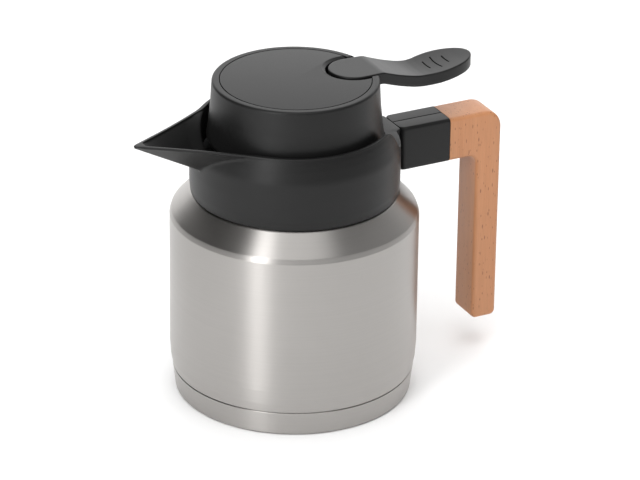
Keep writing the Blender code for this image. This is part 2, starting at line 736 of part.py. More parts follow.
# ----------------------------------------------------------- valve, lever
def make_stem_guide(parts):
    """Flanged bush that the stem slides in, its flange under the stopper's deck."""
    bore = STEM_R + 0.1
    flange_top = DECK_Z - DECK_THICKNESS - GAP
    outline = [
        (4.1, 147.0), (4.1, flange_top), (7.6, flange_top), (7.6, GUIDE_FOOT_Z), (bore, GUIDE_FOOT_Z),
        (bore, 147.0),
    ]
    return turned("stem_guide", outline, parts, 24)


def make_valve_disc(parts):
    """Plastic disc that carries the silicone washer."""
    outline = [(12.6, DISC_TOP_Z), (12.6, 121.1), (2.9, 121.1), (2.9, DISC_TOP_Z)]
    return turned("valve_disc", outline, parts, 32)


def make_valve_seal(parts):
    """Silicone washer that closes the seat."""
    outline = [(12.2, 120.8), (12.2, 119.3), (2.9, 119.3), (2.9, 120.8)]
    return turned("valve_seal", outline, parts, 32)


def make_valve_stem(parts):
    """Stem with a foot flange under the washer."""
    outline = [(0.0, 159.8), (STEM_R, 159.8), (STEM_R, 119.0), (6.0, 119.0), (6.0, 117.4), (0.0, 117.4)]
    return turned("valve_stem", outline, parts, 24)


def make_stem_head(parts):
    """Nut on top of the stem that the lever lifts."""
    outline = [(6.0, 161.6), (6.0, 158.4), (2.9, 158.4), (2.9, 161.6)]
    return turned("stem_head", outline, parts, 24)


def make_spring(parts):
    """Compression spring between the guide and the valve disc."""
    low = DISC_TOP_Z + SPRING_WIRE_R + GAP
    high = GUIDE_FOOT_Z - SPRING_WIRE_R - GAP
    lead = (high - low) / SPRING_TURNS
    return helix("valve_spring", SPRING_R, low, 0.0, 360.0 * SPRING_TURNS, lead, SPRING_WIRE_R, parts, 40.0, 1)


def lever_half_width(x):
    """Half width of the lever seen from above."""
    if x < PIVOT_X:
        return math.sqrt(max(LEVER_END_R ** 2 - (x - PIVOT_X) ** 2, 0.0))
    waist = 68.0
    if x < waist:
        along = (x - PIVOT_X) / (waist - PIVOT_X)
        return LEVER_END_R - 1.6 * 0.5 * (1.0 - math.cos(math.pi * along))
    widest = 80.5
    if x < widest:
        along = (x - waist) / (widest - waist)
        return 11.3 + 1.6 * 0.5 * (1.0 - math.cos(math.pi * along))
    along = (x - widest) / (LEVER_TIP_X - widest)
    return 12.9 * math.sqrt(max(1.0 - along ** 2, 0.0))


def lever_outline(inset):
    """Closed outline of the lever in plan."""
    first = PIVOT_X - LEVER_END_R
    side = []
    for i in range(9):
        x = PIVOT_X - LEVER_END_R * math.cos(math.radians(11.25 * i))
        side.append((x, lever_half_width(x)))
    for x in (42.0, 50.0, 59.0, 68.0, 74.0, 80.5):
        side.append((x, lever_half_width(x)))
    for i in range(1, 9):
        x = 80.5 + (LEVER_TIP_X - 80.5) * math.sin(math.radians(11.25 * i))
        side.append((x, lever_half_width(x)))
    middle = 0.5 * (first + LEVER_TIP_X)
    reach = 0.5 * (LEVER_TIP_X - first)
    scale = (reach - inset) / reach
    side = [(middle + (x - middle) * scale, max(y - inset, 0.0)) for x, y in side]
    return side + [(x, -y) for x, y in reversed(side[1:-1])]


def lever_top(x):
    """Height of the lever's top: flat over the lid, dipping, then rising to the tip."""
    marks = [
        (0.0, LID_TOP_Z), (44.5, LID_TOP_Z), (47.0, 172.9), (52.0, 171.1), (58.5, 169.2), (65.0, 167.8),
        (69.0, 167.3), (74.0, 167.7), (80.0, 168.5), (88.0, 169.8), (95.0, 170.8), (120.0, 172.4),
    ]
    for (x0, z0), (x1, z1) in zip(marks, marks[1:]):
        if x <= x1:
            return z0 + (z1 - z0) * (x - x0) / (x1 - x0)
    return marks[-1][1]


def lever_side(drop_top, drop_bottom):
    """Side outline that follows the lever's top between two depths."""
    stations = [18.0, 44.5, 47.0, 52.0, 58.5, 65.0, 69.0, 74.0, 80.0, 88.0, 95.0, 104.0]
    upper = [(x, lever_top(x) - drop_top) for x in stations]
    lower = [(x, lever_top(x) - drop_bottom) for x in reversed(stations)]
    return upper + lower


def make_lever(parts, tools):
    """Thumb lever: a hollow paddle, a hub on the pin and a hidden lifting fork."""
    lever = plate("pour_lever", lever_outline(0.0), "Z", 150.0, 190.0, parts)
    combine(lever, plate("lever_side", lever_side(0.0, LEVER_HEIGHT), "Y", -20.0, 20.0, tools), "INTERSECT")
    hollow = plate("lever_hollow", lever_outline(LEVER_WALL), "Z", 150.0, 190.0, tools)
    combine(hollow, plate("hollow_side", lever_side(2.0, 12.0), "Y", -20.0, 20.0, tools), "INTERSECT")
    combine(lever, hollow)
    rib = plate("lever_rib", lever_side(1.0, LEVER_HEIGHT - 1.0), "Y", -0.8, 0.8, tools)
    combine(rib, box("rib_range", (40.0, -3.0, 150.0), (99.0, 3.0, 180.0), tools), "INTERSECT")
    combine(lever, rib, "UNION")
    hub = [(PIVOT_X - 5.0, 172.6), (PIVOT_X + 6.0, 172.6), (PIVOT_X + 6.0, 164.0)]
    hub += arc((PIVOT_X, PIVOT_Z), 4.6, 0.0, -120.0, 6)
    hub += [(27.0, 157.0), (6.5, 153.2), (2.6, 153.2), (2.6, 156.4), (8.0, 157.2), (22.0, 162.5), (25.5, 166.2)]
    combine(lever, plate("lever_hub", hub, "Y", -8.3, 8.3, tools), "UNION")
    fork = rod("fork_bar", (0.0, -6.8, 155.6), (0.0, 6.8, 155.6), 2.4, tools)
    combine(lever, fork, "UNION")
    side_bars = box("fork_root", (0.0, -6.8, 153.3), (7.0, 6.8, 156.0), tools)
    combine(lever, side_bars, "UNION")
    combine(lever, box("fork_slot", (-4.0, -3.4, 150.0), (4.2, 3.4, 160.0), tools))
    combine(lever, rod("lever_bore", (PIVOT_X, -9.0, PIVOT_Z), (PIVOT_X, 9.0, PIVOT_Z), PIN_BORE_R, tools, 24))
    for i, (x, reach) in enumerate(THUMB_GROOVES):
        z = lever_top(x)
        combine(lever, box("thumb_groove_%d" % i, (x - 0.4, -reach, z - 0.7), (x + 0.4, reach, z + 2.0), tools))
    return lever


def make_lever_pin(parts):
    """Steel pivot pin held in the lid's lugs."""
    return rod("lever_pin", (PIVOT_X, -10.9, PIVOT_Z), (PIVOT_X, 10.9, PIVOT_Z), PIN_R, parts, 24)


# -------------------------------------------------------------------- build
def clear_scene():
    """Start from an empty scene."""
    for item in list(bpy.data.objects):
        bpy.data.objects.remove(item)


def main():
    """Build every piece and hang the moving ones on their axes."""
    clear_scene()
    parts = collection("coffee_pot")
    tools = collection("cutters")

    brushed = material("brushed_steel", 0.62, 0.61, 0.59, 0.32, 1.0)
    bright = material("bright_steel", 0.66, 0.66, 0.65, 0.2, 1.0)
    black = material("black_plastic", 0.022, 0.022, 0.022, 0.45)
    wood = material("beech", 0.55, 0.29, 0.15, 0.5)
    rubber = material("silicone", 0.25, 0.25, 0.25, 0.6)
    brass = material("brass", 0.72, 0.5, 0.2, 0.3, 1.0)
    natural = material("natural_plastic", 0.7, 0.7, 0.66, 0.45)

    finish(make_outer_shell(parts), brushed)
    finish(make_inner_flask(parts), brushed)
    finish(make_outer_bottom(parts), brushed)
    finish(make_base_cup(parts), brushed)
    finish(make_vacuum_seal(parts), bright)
    finish(make_getter(parts), bright)
    finish(make_collar(parts, tools), black)
    finish(make_neck_seal(parts), rubber)
    finish(make_lock_ring(parts), natural)
    finish(make_arm_half("arm_half_right", -1, parts, tools), black)
    finish(make_arm_half("arm_half_left", 1, parts, tools), black)
    for name, z in zip(("arm_screw_lower", "arm_screw_upper"), ARM_SCREW_Z):
        finish(make_arm_screw(name, z, parts), bright)
    finish(make_grip(parts, tools), wood)
    finish(make_grip_bolt(parts), bright)
    finish(make_grip_insert(parts), brass)
    for name, z in zip(("grip_dowel_lower", "grip_dowel_upper"), DOWEL_Z):
        finish(make_grip_dowel(name, z, parts), bright)

    gasket = finish(make_lid_gasket(parts), rubber)
    lid = [
        finish(make_lid_shell(parts, tools), black),
        finish(make_lid_panel(parts, tools), black),
        finish(make_stopper(parts, tools), black),
        finish(make_lever_pin(parts), bright),
        finish(make_stem_guide(parts), natural),
    ]
    for i in range(LID_SCREWS):
        lid.append(finish(make_lid_screw("lid_screw_%d" % (i + 1), i, parts), bright))
    valve = [
        finish(make_valve_stem(parts), natural),
        finish(make_valve_disc(parts), natural),
        finish(make_valve_seal(parts), rubber),
        finish(make_stem_head(parts), natural),
        finish(make_spring(parts), bright),
    ]
    lever = finish(make_lever(parts, tools), black)

    rise_axis = pivot("gasket_axis", 0.0, MOUTH_Z, parts)
    lid_axis = pivot("lid_axis", 0.0, MOUTH_Z, parts)
    valve_axis = pivot("valve_axis", 0.0, SEAT_Z, parts)
    lever_axis = pivot("lever_axis", PIVOT_X, PIVOT_Z, parts)
    ride_on([gasket, lid_axis], rise_axis)
    ride_on(lid + [valve_axis, lever_axis], lid_axis)
    ride_on(valve, valve_axis)
    ride_on([lever], lever_axis)
    for item in tools.objects:
        mark_cutter(item)


if __name__ == "__main__":
    main()
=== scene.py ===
"""Looks of the insulated coffee pot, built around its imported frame.

Lengths in the panel are in metres, as Blender's length properties are.  In the
code below, profiles are written in millimetres and turned to metres by MM.
+Z is up, the handle points along +X and the spout along -X.
"""

import math

import bmesh
import bpy
import numpy as np
from bpy.props import FloatProperty, FloatVectorProperty, IntProperty, PointerProperty, StringProperty
from mathutils import Matrix, Vector


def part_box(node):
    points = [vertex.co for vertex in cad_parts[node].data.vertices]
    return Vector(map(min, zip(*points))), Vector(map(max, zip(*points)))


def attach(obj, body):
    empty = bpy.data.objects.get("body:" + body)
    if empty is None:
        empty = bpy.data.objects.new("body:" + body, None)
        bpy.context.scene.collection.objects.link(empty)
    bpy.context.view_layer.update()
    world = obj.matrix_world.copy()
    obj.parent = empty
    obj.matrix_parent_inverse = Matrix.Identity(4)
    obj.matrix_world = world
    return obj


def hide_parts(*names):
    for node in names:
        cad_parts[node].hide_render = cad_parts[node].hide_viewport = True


bl_info = {
    "name": "Insulated coffee pot",
    "version": (1, 0, 0),
    "blender": (4, 5, 0),
    "location": "3D View > Sidebar > Coffee Pot",
    "description": "Builds the finished surfaces of an insulated coffee pot with a thumb lever",
    "category": "Add Mesh",
}

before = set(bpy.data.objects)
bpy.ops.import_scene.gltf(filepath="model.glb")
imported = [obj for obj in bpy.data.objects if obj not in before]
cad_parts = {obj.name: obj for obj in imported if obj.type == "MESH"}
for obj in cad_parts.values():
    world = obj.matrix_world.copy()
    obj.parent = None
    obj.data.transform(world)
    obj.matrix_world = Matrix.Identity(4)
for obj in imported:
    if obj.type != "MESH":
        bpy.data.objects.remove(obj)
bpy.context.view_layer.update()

MM = 0.001
TURN_STEPS = 192          # facets round a large turned piece
SMALL_STEPS = 48          # facets round a small turned piece
MERGE = 0.000001          # points closer than this, in metres, are one point


def mm_box(node):
    """Corners of a frame node in millimetres."""
    low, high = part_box(node)
    return low / MM, high / MM


def middle_of(node):
    """Middle of a frame node's box in millimetres."""
    low, high = mm_box(node)
    return 0.5 * (low + high)


BODY_HIGH = mm_box("outer_shell")[1]
BASE_HIGH = mm_box("base_cup")[1]
ARM_LOW, ARM_HIGH = mm_box("arm_half_left")
GRIP_LOW, GRIP_HIGH = mm_box("wooden_grip")
LID_HIGH = mm_box("lid_shell")[1]

BODY_R = BODY_HIGH.x
SEAM_R, SEAM_Z = BASE_HIGH.x, BASE_HIGH.z
MOUTH_TOP = mm_box("inner_flask")[1].z
ARM_HALF = ARM_HIGH.y
SCREW_X = middle_of("arm_screw_lower").x
SCREW_HEIGHTS = [middle_of(node).z for node in ("arm_screw_lower", "arm_screw_upper")]
LID_TOP = LID_HIGH.z
SKIRT_R = LID_HIGH.x
CROWN_R = SKIRT_R - 2.8                     # top edge of the lid
PANEL_R = -mm_box("lid_top_panel")[0].x     # the panel is cut away on its +X side
LID_SCREW_R = 34.0                          # the lid's three screws, from the axis
LID_SCREW_TURN = math.radians(66.0)         # and where the first one is
PIVOT_X, PIVOT_Z = middle_of("lever_pin").x, 163.0
LEVER_TIP_X = mm_box("pour_lever")[1].x
LEVER_END_R = 12.9                          # round end over the lid
LEVER_HEIGHT = 6.3
BEAK_TIP_X = -91.0
BEAK_END_X = -27.3                          # where the beak's sides run into the round wall


# ------------------------------------------------------------------ settings
class PotSizes(bpy.types.PropertyGroup):
    """Sizes of the finished surfaces."""

    shoulder_radius: FloatProperty(
        name="Shoulder Radius", description="Rounding where the wall meets the cone", default=0.0024, unit="LENGTH")
    rim_edge: FloatProperty(
        name="Rim Edge", description="Rounding of the collar's rim", default=0.0007, unit="LENGTH")
    crease_fillet: FloatProperty(
        name="Crease Fillet", description="Width of the fillet between beak and collar", default=0.0016, unit="LENGTH")
    grip_edge: FloatProperty(
        name="Grip Edge", description="Rounding of the wooden grip's long edges", default=0.0022, unit="LENGTH")
    arm_edge: FloatProperty(
        name="Arm Edge", description="Rounding of the arm's long edges", default=0.0020, unit="LENGTH")
    arm_end: FloatProperty(
        name="Arm End", description="Upright rounding of the arm where it meets the collar", default=0.0032,
        unit="LENGTH")
    lever_edge: FloatProperty(
        name="Lever Edge", description="Rounding of the lever's top edge", default=0.0007, unit="LENGTH")
    groove_width: FloatProperty(
        name="Groove Width", description="Width of the thumb grooves", default=0.0008, unit="LENGTH")
    thread_starts: IntProperty(
        name="Thread Starts", description="Number of thread ridges round the stopper", default=3, min=1)


class PotColours(bpy.types.PropertyGroup):
    """Colours of the finishes, as sRGB hex values."""

    steel: StringProperty(name="Steel", description="Brushed stainless steel", default="#AFACA9")
    plastic: StringProperty(name="Plastic", description="Black moulded polypropylene", default="#161616")
    wood_light: StringProperty(name="Light Wood", description="Beech between the rays", default="#C58C62")
    wood_dark: StringProperty(name="Dark Wood", description="Beech late wood", default="#B4764C")
    wood_fleck: StringProperty(name="Wood Fleck", description="Short dark rays of beech", default="#6E3F25")
    silicone: StringProperty(name="Silicone", description="Grey silicone", default="#8C8C8A")
    acetal: StringProperty(name="Acetal", description="Natural white acetal", default="#DADAD3")
    brass: StringProperty(name="Brass", description="Turned brass", default="#D9BC7A")


# ------------------------------------------------------------------- helpers
def linear(hex_colour):
    """Turn an sRGB hex value to linear RGBA."""
    values = [int(hex_colour[i:i + 2], 16) / 255.0 for i in (1, 3, 5)]
    return tuple([v / 12.92 if v <= 0.04045 else ((v + 0.055) / 1.055) ** 2.4 for v in values] + [1.0])


def add_node(tree, kind, settings=None, inputs=None, links=None):
    """Add a node with its settings, socket values and links from other sockets."""
    node = tree.nodes.new(kind)
    for key, value in (settings or {}).items():
        setattr(node, key, value)
    for key, value in (inputs or {}).items():
        node.inputs[key].default_value = value
    for key, source in (links or {}).items():
        tree.links.new(source, node.inputs[key])
    return node


def new_material(name, **sockets):
    """Material with one Principled shader, its constant sockets set directly."""
    made = bpy.data.materials.new(name)
    made.use_nodes = True
    shader = made.node_tree.nodes["Principled BSDF"]
    for key, value in sockets.items():
        shader.inputs[key.replace("_", " ").title().replace("Ior", "IOR")].default_value = value
    return made, made.node_tree, shader


def add_object(name, mesh):
    """Link a mesh as a named object at the origin."""
    made = bpy.data.objects.new(name, mesh)
    bpy.context.scene.collection.objects.link(made)
    return made


def clean(mesh, merge=MERGE, dissolve=False):
    """Merge doubles, drop faces without area if asked, and turn every face outwards."""
    work = bmesh.new()
    work.from_mesh(mesh)
    bmesh.ops.remove_doubles(work, verts=work.verts, dist=merge)
    if dissolve:
        bmesh.ops.dissolve_degenerate(work, edges=work.edges, dist=merge)
    bmesh.ops.recalc_face_normals(work, faces=work.faces)
    work.to_mesh(mesh)
    work.free()


def mesh_from(name, points, faces):
    """Object from points in millimetres and faces, cleaned."""
    mesh = bpy.data.meshes.new(name)
    mesh.from_pydata([tuple(float(c) * MM for c in p) for p in points], [], faces)
    clean(mesh, 2.0 * MERGE, dissolve=True)
    return add_object(name, mesh)


def shade(item, degrees=32.0):
    """Smooth shading with sharp edges above an angle."""
    item.data.shade_smooth()
    item.data.set_sharp_from_angle(angle=math.radians(degrees))


def plain_mesh(item):
    """Replace an object's modifiers by their result."""
    bpy.context.view_layer.update()
    graph = bpy.context.evaluated_depsgraph_get()
    mesh = bpy.data.meshes.new_from_object(item.evaluated_get(graph))
    item.modifiers.clear()
    item.data = mesh
    return item


def cut(item, *tools, operation="DIFFERENCE"):
    """Boolean with tool bodies, which are removed afterwards."""
    for tool in tools:
        change = item.modifiers.new("Cut", "BOOLEAN")
        change.operation = operation
        change.solver = "EXACT"
        change.object = tool
        plain_mesh(item)
        bpy.data.objects.remove(tool)
    return item


def rounded(corners, steps=5):
    """Polyline with its corners turned to arcs; a corner is (u, v) or (u, v, radius)."""
    points = []
    count = len(corners)
    for i, corner in enumerate(corners):
        radius = corner[2] if len(corner) > 2 else 0.0
        here = Vector(corner[:2])
        before = Vector(corners[i - 1][:2]) - here
        after = Vector(corners[(i + 1) % count][:2]) - here
        if radius == 0.0 or before.length == 0.0 or after.length == 0.0:
            points.append(tuple(here))
            continue
        angle = before.angle(after)
        if angle > math.pi - 0.01:
            points.append(tuple(here))
            continue
        reach = min(radius / math.tan(0.5 * angle), 0.49 * before.length, 0.49 * after.length)
        start = here + before.normalized() * reach
        end = here + after.normalized() * reach
        for k in range(steps + 1):
            t = k / steps
            points.append(tuple(start * (1 - t) ** 2 + here * (2 * t * (1 - t)) + end * t ** 2))
    return points


def turned(name, corners, steps=TURN_STEPS, arc_steps=5):
    """Closed solid of revolution about Z from an outline in millimetres."""
    outline = rounded(corners, arc_steps)
    edges = []
    for i in range(len(outline)):
        j = (i + 1) % len(outline)
        if outline[i][0] > 0.0 or outline[j][0] > 0.0:
            edges.append((i, j))
    mesh = bpy.data.meshes.new(name)
    mesh.from_pydata([(r * MM, 0.0, z * MM) for r, z in outline], edges, [])
    item = add_object(name, mesh)
    turn = item.modifiers.new("Turn", "SCREW")
    turn.steps = steps
    turn.render_steps = steps
    turn.use_merge_vertices = True
    turn.merge_threshold = MERGE
    plain_mesh(item)
    clean(item.data)
    shade(item)
    return item


def tube_faces(rings, columns, closed_rings=False):
    """Quads over a grid of points that closes along its columns."""
    faces = []
    last = rings if closed_rings else rings - 1
    for i in range(last):
        k = (i + 1) % rings
        for j in range(columns):
            n = (j + 1) % columns
            faces.append((i * columns + j, i * columns + n, k * columns + n, k * columns + j))
    return faces


def loft(name, rings, caps=True):
    """Skin over point rings of equal length, with flat ends."""
    columns = len(rings[0])
    points = [p for ring in rings for p in ring]
    faces = tube_faces(len(rings), columns)
    if caps:
        faces.append(tuple(range(columns)))
        faces.append(tuple(reversed(range(len(points) - columns, len(points)))))
    return mesh_from(name, points, faces)


def prism(name, outline, axis, low, high, edge=0.0):
    """Outline pushed out along an axis, with softened end edges when edge is above zero."""
    centre = Vector((sum(p[0] for p in outline) / len(outline), sum(p[1] for p in outline) / len(outline)))
    span = max((Vector(p) - centre).length for p in outline)
    levels = [(low, 0.0), (high, 0.0)]
    if edge > 0.0:
        levels = [(low, edge), (low + 0.3 * edge, 0.3 * edge), (low + edge, 0.0)]
        levels += [(high - edge, 0.0), (high - 0.3 * edge, 0.3 * edge), (high, edge)]
    rings = []
    for level, inset in levels:
        scale = 1.0 - inset / span
        ring = []
        for u, v in outline:
            a = centre.x + (u - centre.x) * scale
            b = centre.y + (v - centre.y) * scale
            ring.append({"X": (level, a, b), "Y": (a, level, b), "Z": (a, b, level)}[axis])
        rings.append(ring)
    item = loft(name, rings)
    shade(item)
    return item


def arc(x, y, radius, start, end, steps):
    """Points on an arc, angles in degrees."""
    angles = [math.radians(start + (end - start) * i / steps) for i in range(steps + 1)]
    return [(x + radius * math.cos(a), y + radius * math.sin(a)) for a in angles]


def give(item, material, body, slot, *nodes):
    """Give a finished piece its material, its body and the nodes it stands for."""
    item.data.materials.clear()
    item.data.materials.append(material)
    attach(item, body)
    if nodes:
        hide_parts(*nodes)
    return item


def dress_node(node, material):
    """Give a frame node that keeps its shape a better material."""
    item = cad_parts[node]
    item.data.materials.clear()
    item.data.materials.append(material)


def circle(x, y, radius, steps):
    """Closed circle of the given number of points."""
    return arc(x, y, radius, 0.0, 360.0 - 360.0 / steps, steps - 1)


# ----------------------------------------------------------------- materials
def placed(tree, scale=None, rotation=(0.0, 0.0, 0.0)):
    """Object coordinates, stretched by a scale if one is given."""
    place = add_node(tree, "ShaderNodeTexCoord").outputs["Object"]
    if scale is None:
        return place
    return add_node(tree, "ShaderNodeMapping", inputs={"Scale": scale, "Rotation": rotation},
                    links={"Vector": place}).outputs["Vector"]


def noise(tree, vector, **inputs):
    """Noise factor at a vector."""
    return add_node(tree, "ShaderNodeTexNoise", inputs=inputs, links={"Vector": vector}).outputs["Fac"]


def mixed(tree, factor, low, high):
    """Colour between two linear colours."""
    tone = add_node(tree, "ShaderNodeMix", {"data_type": "RGBA"}, {6: low, 7: high}, {0: factor})
    return tone.outputs[2]


def mottled(tree, factor, tint, low, high):
    """Tint made darker and lighter by a factor between two shares of it."""
    base = linear(tint)[:3]
    return mixed(tree, factor, tuple([c * low for c in base] + [1.0]),
                 tuple([min(c * high, 1.0) for c in base] + [1.0]))


def surface(tree, shader, colour, gloss, rough, bump=None):
    """Link a shader's colour and roughness, and its bump as strength, distance and height."""
    tree.links.new(colour, shader.inputs["Base Color"])
    ranged = add_node(tree, "ShaderNodeMapRange", inputs={"To Min": rough[0], "To Max": rough[1]},
                      links={"Value": gloss})
    tree.links.new(ranged.outputs["Result"], shader.inputs["Roughness"])
    if bump:
        relief = add_node(tree, "ShaderNodeBump", inputs={"Strength": bump[0], "Distance": bump[1]},
                          links={"Height": bump[2]})
        tree.links.new(relief.outputs["Normal"], shader.inputs["Normal"])


def brushed_steel(name, tint, roughness=0.38):
    """Stainless sheet brushed while it turned: fine lines run round the pot.

    The lines are about 0.1 mm apart and very faint, so they are drawn as bands
    of 0.8 mm.  They spread highlights up and down: a light shows as an upright band.
    """
    made, tree, shader = new_material(name, metallic=1.0, anisotropic=0.85, anisotropic_rotation=0.25)
    lines = noise(tree, placed(tree, (3.0, 3.0, 1200.0)), Scale=1.0, Detail=5.0, Roughness=0.7)
    broad = noise(tree, placed(tree), Scale=9.0, Detail=1.0)
    surface(tree, shader, mottled(tree, lines, tint, 0.94, 1.06), broad,
            (roughness - 0.02, roughness + 0.03), (0.03, 0.00004, lines))
    return made


def moulded_plastic(name, tint, roughness=0.42, grain=0.16):
    """Polypropylene from a spark-eroded mould: black, with a fine satin grain.

    The grain is about 0.15 mm, drawn at 0.35 mm, and softens every highlight.
    """
    made, tree, shader = new_material(name, ior=1.49, specular_ior_level=0.30)
    place = placed(tree)
    grit = noise(tree, place, Scale=2800.0, Detail=2.0)
    flow = noise(tree, place, Scale=45.0, Detail=3.0)
    surface(tree, shader, mottled(tree, flow, tint, 0.88, 1.12), grit,
            (roughness - 0.05, roughness + 0.06), (grain, 0.00006, grit))
    return made


def oiled_beech(name, light, dark, fleck):
    """Beech, sanded and oiled, with its grain upright in the grip.

    Growth rings are 2 to 3 mm apart and faint.  The rays are short dark flecks
    1.5 to 3 mm long and 0.3 mm wide, and fine fibres run along the grain.
    """
    made, tree, shader = new_material(name, ior=1.5, coat_weight=0.12, coat_roughness=0.3)
    growth = noise(tree, placed(tree, (230.0, 150.0, 14.0), (0.0, 0.04, 0.5)),
                   Scale=0.8, Detail=3.0, Distortion=0.4)
    fibre = noise(tree, placed(tree, (2400.0, 2400.0, 110.0)), Scale=1.0, Detail=3.0)
    rays = []
    for scale, chance in (((560.0, 560.0, 170.0), 0.45), ((820.0, 820.0, 260.0), 0.5)):
        cells = add_node(tree, "ShaderNodeTexVoronoi", inputs={"Scale": 1.0, "Randomness": 1.0},
                         links={"Vector": placed(tree, scale)})
        near = add_node(tree, "ShaderNodeMapRange", {"interpolation_type": "SMOOTHSTEP"},
                        inputs={"From Min": 0.10, "From Max": 0.27, "To Min": 1.0, "To Max": 0.0},
                        links={"Value": cells.outputs["Distance"]})
        chosen = add_node(tree, "ShaderNodeSeparateColor", links={"Color": cells.outputs["Color"]})
        some = add_node(tree, "ShaderNodeMapRange", inputs={"From Min": chance, "From Max": chance + 0.25},
                        links={"Value": chosen.outputs["Red"]})
        rays.append(add_node(tree, "ShaderNodeMath", {"operation": "MULTIPLY"},
                             links={0: near.outputs["Result"], 1: some.outputs["Result"]}))
    both = add_node(tree, "ShaderNodeMath", {"operation": "MAXIMUM"},
                    links={0: rays[0].outputs["Value"], 1: rays[1].outputs["Value"]})
    faint = add_node(tree, "ShaderNodeMath", {"operation": "MULTIPLY"}, {1: 0.75}, {0: both.outputs["Value"]})
    streak = add_node(tree, "ShaderNodeMapRange", inputs={"To Min": 0.84, "To Max": 1.12}, links={"Value": fibre})
    fine = add_node(tree, "ShaderNodeMix", {"data_type": "RGBA", "blend_type": "MULTIPLY"}, {0: 1.0},
                    {6: mixed(tree, growth, linear(dark), linear(light)), 7: streak.outputs["Result"]})
    flecked = add_node(tree, "ShaderNodeMix", {"data_type": "RGBA"}, {7: linear(fleck)},
                       {0: faint.outputs["Value"], 6: fine.outputs[2]})
    surface(tree, shader, flecked.outputs[2], fibre, (0.40, 0.54), (0.2, 0.00005, fibre))
    return made


def soft_surface(name, tint, roughness, metallic=0.0, scale=900.0):
    """Small hidden parts: a plain tint with faint clouding and moulding or turning marks."""
    made, tree, shader = new_material(name, metallic=metallic)
    clouds = noise(tree, placed(tree), Scale=scale, Detail=3.0)
    surface(tree, shader, mottled(tree, clouds, tint, 0.9, 1.06), clouds, (roughness - 0.05, roughness + 0.05))
    return made


FINISHES = {}


def finish_named(name):
    """Make each finish once and hand it out by name."""
    if name not in FINISHES:
        tints = bpy.context.scene.pot_colours
        makers = {
            "brushed_stainless": lambda: brushed_steel("brushed_stainless", tints.steel),
            "rolled_stainless": lambda: brushed_steel("rolled_stainless", tints.steel, 0.30),
            "satin_polypropylene": lambda: moulded_plastic("satin_polypropylene", tints.plastic),
            "smooth_polypropylene": lambda: moulded_plastic("smooth_polypropylene", tints.plastic, 0.36, 0.10),
            "oiled_beech": lambda: oiled_beech("oiled_beech", tints.wood_light, tints.wood_dark, tints.wood_fleck),
            "moulded_silicone": lambda: soft_surface("moulded_silicone", tints.silicone, 0.6),
            "natural_acetal": lambda: soft_surface("natural_acetal", tints.acetal, 0.4),
            "turned_brass": lambda: soft_surface("turned_brass", tints.brass, 0.28, 1.0, 2500.0),
            "bright_stainless": lambda: soft_surface("bright_stainless", "#D8D7D4", 0.2, 1.0, 2500.0),
        }
        FINISHES[name] = makers[name]()
    return FINISHES[name]


# ------------------------------------------------------------- collar shape
def beak_edge(x):
    """Half width of the beak at its rim, in plan."""
    along = np.clip((x - BEAK_TIP_X) / 63.7, 0.0, 1.0)
    return 0.639 * (x + 94.1) - 1.5 * np.sin(math.pi * along)


def beak_keel(x):
    """Height of the beak's lowest line."""
    return 132.8 + (150.9 - 132.8) / (-88.5 + 54.4) * (x + 54.4)


def beak_rim(x):
    """Height of the beak's rim, a little higher at the tip."""
    return 153.6 - 2.3 * np.clip((x - BEAK_TIP_X) / 50.0, 0.0, 1.0)


def beak_radius(angle, z, wall, floor_z):
    """Distance from the pot's axis to the beak's skin; angle is measured from -X."""
    low = np.full(np.broadcast(angle, z).shape, 30.0)
    high = np.full_like(low, -BEAK_TIP_X - 3.0 * wall)
    for _ in range(36):
        middle = 0.5 * (low + high)
        x = -middle * np.cos(angle)
        keel = np.maximum(beak_keel(x) + 1.5 * wall, floor_z)
        depth = np.maximum(beak_rim(x) - keel, 0.8)
        up = np.clip((z - keel) / depth, 0.0, 1.0)
        width = np.maximum(beak_edge(x) - 1.2 * wall, 0.2) * np.sqrt(up ** 2 + 0.16 * up) / math.sqrt(1.16)
        inside = (np.abs(middle * np.sin(angle)) <= width) & (z >= keel)
        low = np.where(inside, middle, low)
        high = np.where(inside, high, middle)
    return np.where(-low * np.cos(angle) <= BEAK_END_X, low, 30.0)


def soft_max(a, b, width):
    """Larger of two values with a fillet of the given width."""
    blend = np.maximum(width - np.abs(a - b), 0.0) / width
    return np.maximum(a, b) + blend ** 2 * width * 0.25


def collar_wall(z):
    """Outer radius of the round collar by height."""
    heights = [112.3, 114.0, 118.0, 128.0, 137.0, 138.5, 140.0, 145.0, 148.5, 151.3, 156.0]
    radii = [54.1, 54.35, 54.7, 54.8, 54.65, 54.5, 54.2, 52.9, 51.8, 50.7, 49.4]
    return np.interp(z, heights, radii)


def rim_height(angle):
    """Height of the rim; it steps down to a level ledge at the handle."""
    from_handle = 180.0 - np.abs(np.degrees(angle))
    return np.interp(from_handle, [31.5, 33.5, 36.0, 38.0, 40.5, 43.5, 46.0, 49.0],
                     [138.5, 138.8, 140.6, 142.9, 146.9, 149.9, 151.0, 151.3])


def collar_angles():
    """Angles round the collar from -X, closer together at the beak, step and handle."""
    angles = []
    here = -180.0
    while here < 180.0 - 1e-6:
        angles.append(here)
        size = abs(here)
        pace = 1.1
        if size < 14.0:
            pace = 0.3
        elif size < 70.0:
            pace = 0.7
        elif 128.0 < size < 152.0:
            pace = 0.6
        elif size > 164.0:
            pace = 0.35
        here += pace
    return np.radians(np.array(angles))


